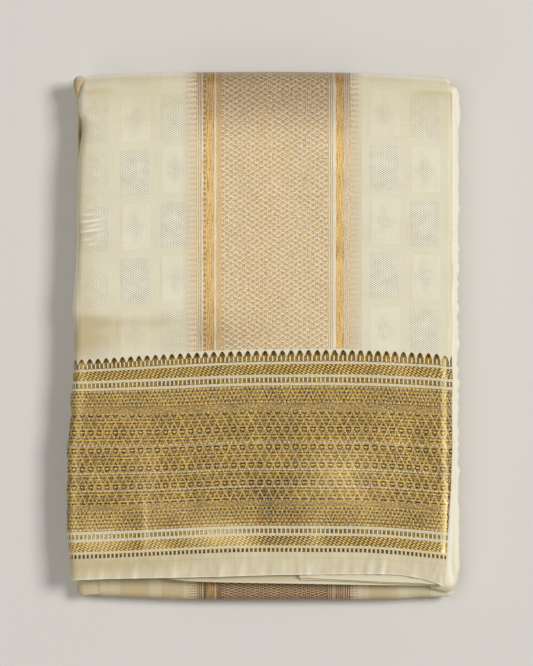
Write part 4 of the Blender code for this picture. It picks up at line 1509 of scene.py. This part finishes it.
class DHOTI_OT_stage(bpy.types.Operator):
    """The floor, the lights and the camera"""

    bl_idname = "dhoti.stage"
    bl_label = "Stage"

    def execute(self, context):
        scene, stage, colours = context.scene, context.scene.dhoti_stage, context.scene.dhoti_colours
        bpy.ops.mesh.primitive_plane_add(size=8, location=(0, 0, FLOOR_LEVEL))
        floor = context.object
        floor.name = "floor"
        weave = Weave("floor")
        weave.place = weave.node("ShaderNodeTexCoord", output=3)
        cloud = weave.value("ShaderNodeTexNoise", {}, {"Vector": weave.place, "Scale": 3.0, "Detail": 2.0})
        values = {"Base Color": colours.floor, "Roughness": 0.6 + cloud * 0.1}
        weave.node_to_output(weave.node("ShaderNodeBsdfPrincipled", {}, values))
        floor.data.materials.append(weave.material)
        # Columns: name, power, size, place
        lights = (
            ("key_light", stage.key, 1.5, (3.2, 1.1, 3.6)),
            ("top_light", stage.top, 1.4, (-1.0, 0.3, 2.2)),
            ("fill_light", stage.fill, 1.4, (-1.5, -1.8, 1.5)),
        )
        for name, power, size, spot in lights:
            light = bpy.data.lights.new(name, "AREA")
            light.energy, light.size = power, size
            lamp = bpy.data.objects.new(name, light)
            lamp.location = spot
            lamp.rotation_euler = (-Vector(spot)).to_track_quat("-Z", "Y").to_euler()
            scene.collection.objects.link(lamp)
        world = bpy.data.worlds.new("surroundings")
        world.use_nodes = True
        sky = world.node_tree.nodes["Background"].inputs
        sky["Color"].default_value = (1.0, 0.98, 0.95, 1.0)
        sky["Strength"].default_value = stage.sky
        scene.world = world
        scene.view_settings.view_transform = "Standard"
        camera = bpy.data.objects.new("camera", bpy.data.cameras.new("camera"))
        camera.location = (*VIEW_CENTRE, stage.height)
        camera.data.sensor_fit = "HORIZONTAL"
        camera.data.lens = camera.data.sensor_width * (stage.height - VIEW_LEVEL) / VIEW_WIDTH
        camera.data.clip_end = 20
        scene.collection.objects.link(camera)
        scene.camera = camera
        return {"FINISHED"}


OPERATORS = (
    DHOTI_OT_folded_layers,
    DHOTI_OT_second_bundle,
    DHOTI_OT_closed_fold,
    DHOTI_OT_selvedges,
    DHOTI_OT_top_cloth,
    DHOTI_OT_corner,
    DHOTI_OT_stage,
)


class DHOTI_PT_pieces(bpy.types.Panel):
    """The dhoti's settings and pieces"""

    bl_idname = "DHOTI_PT_pieces"
    bl_label = "Folded dhoti"
    bl_space_type = "VIEW_3D"
    bl_region_type = "UI"
    bl_category = "Dhoti"

    def draw(self, context):
        for group in (context.scene.dhoti_cloth, context.scene.dhoti_colours, context.scene.dhoti_stage):
            box = self.layout.box()
            for name in group.__annotations__:
                box.prop(group, name)
        for operator in OPERATORS:
            self.layout.operator(operator.bl_idname)


GROUPS = {"dhoti_colours": DhotiColours, "dhoti_cloth": DhotiCloth, "dhoti_stage": DhotiStage}


def register():
    for kind in (*GROUPS.values(), *OPERATORS, DHOTI_PT_pieces):
        bpy.utils.register_class(kind)
    for name, group in GROUPS.items():
        setattr(bpy.types.Scene, name, PointerProperty(type=group))


def unregister():
    for name in GROUPS:
        delattr(bpy.types.Scene, name)
    for kind in (DHOTI_PT_pieces, *OPERATORS, *GROUPS.values()):
        bpy.utils.unregister_class(kind)


def main():
    register()
    bpy.ops.dhoti.folded_layers()
    bpy.ops.dhoti.second_bundle()
    bpy.ops.dhoti.closed_fold()
    bpy.ops.dhoti.selvedges()
    bpy.ops.dhoti.top_cloth()
    bpy.ops.dhoti.corner()
    bpy.ops.dhoti.stage()
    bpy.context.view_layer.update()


if __name__ == "__main__":
    main()
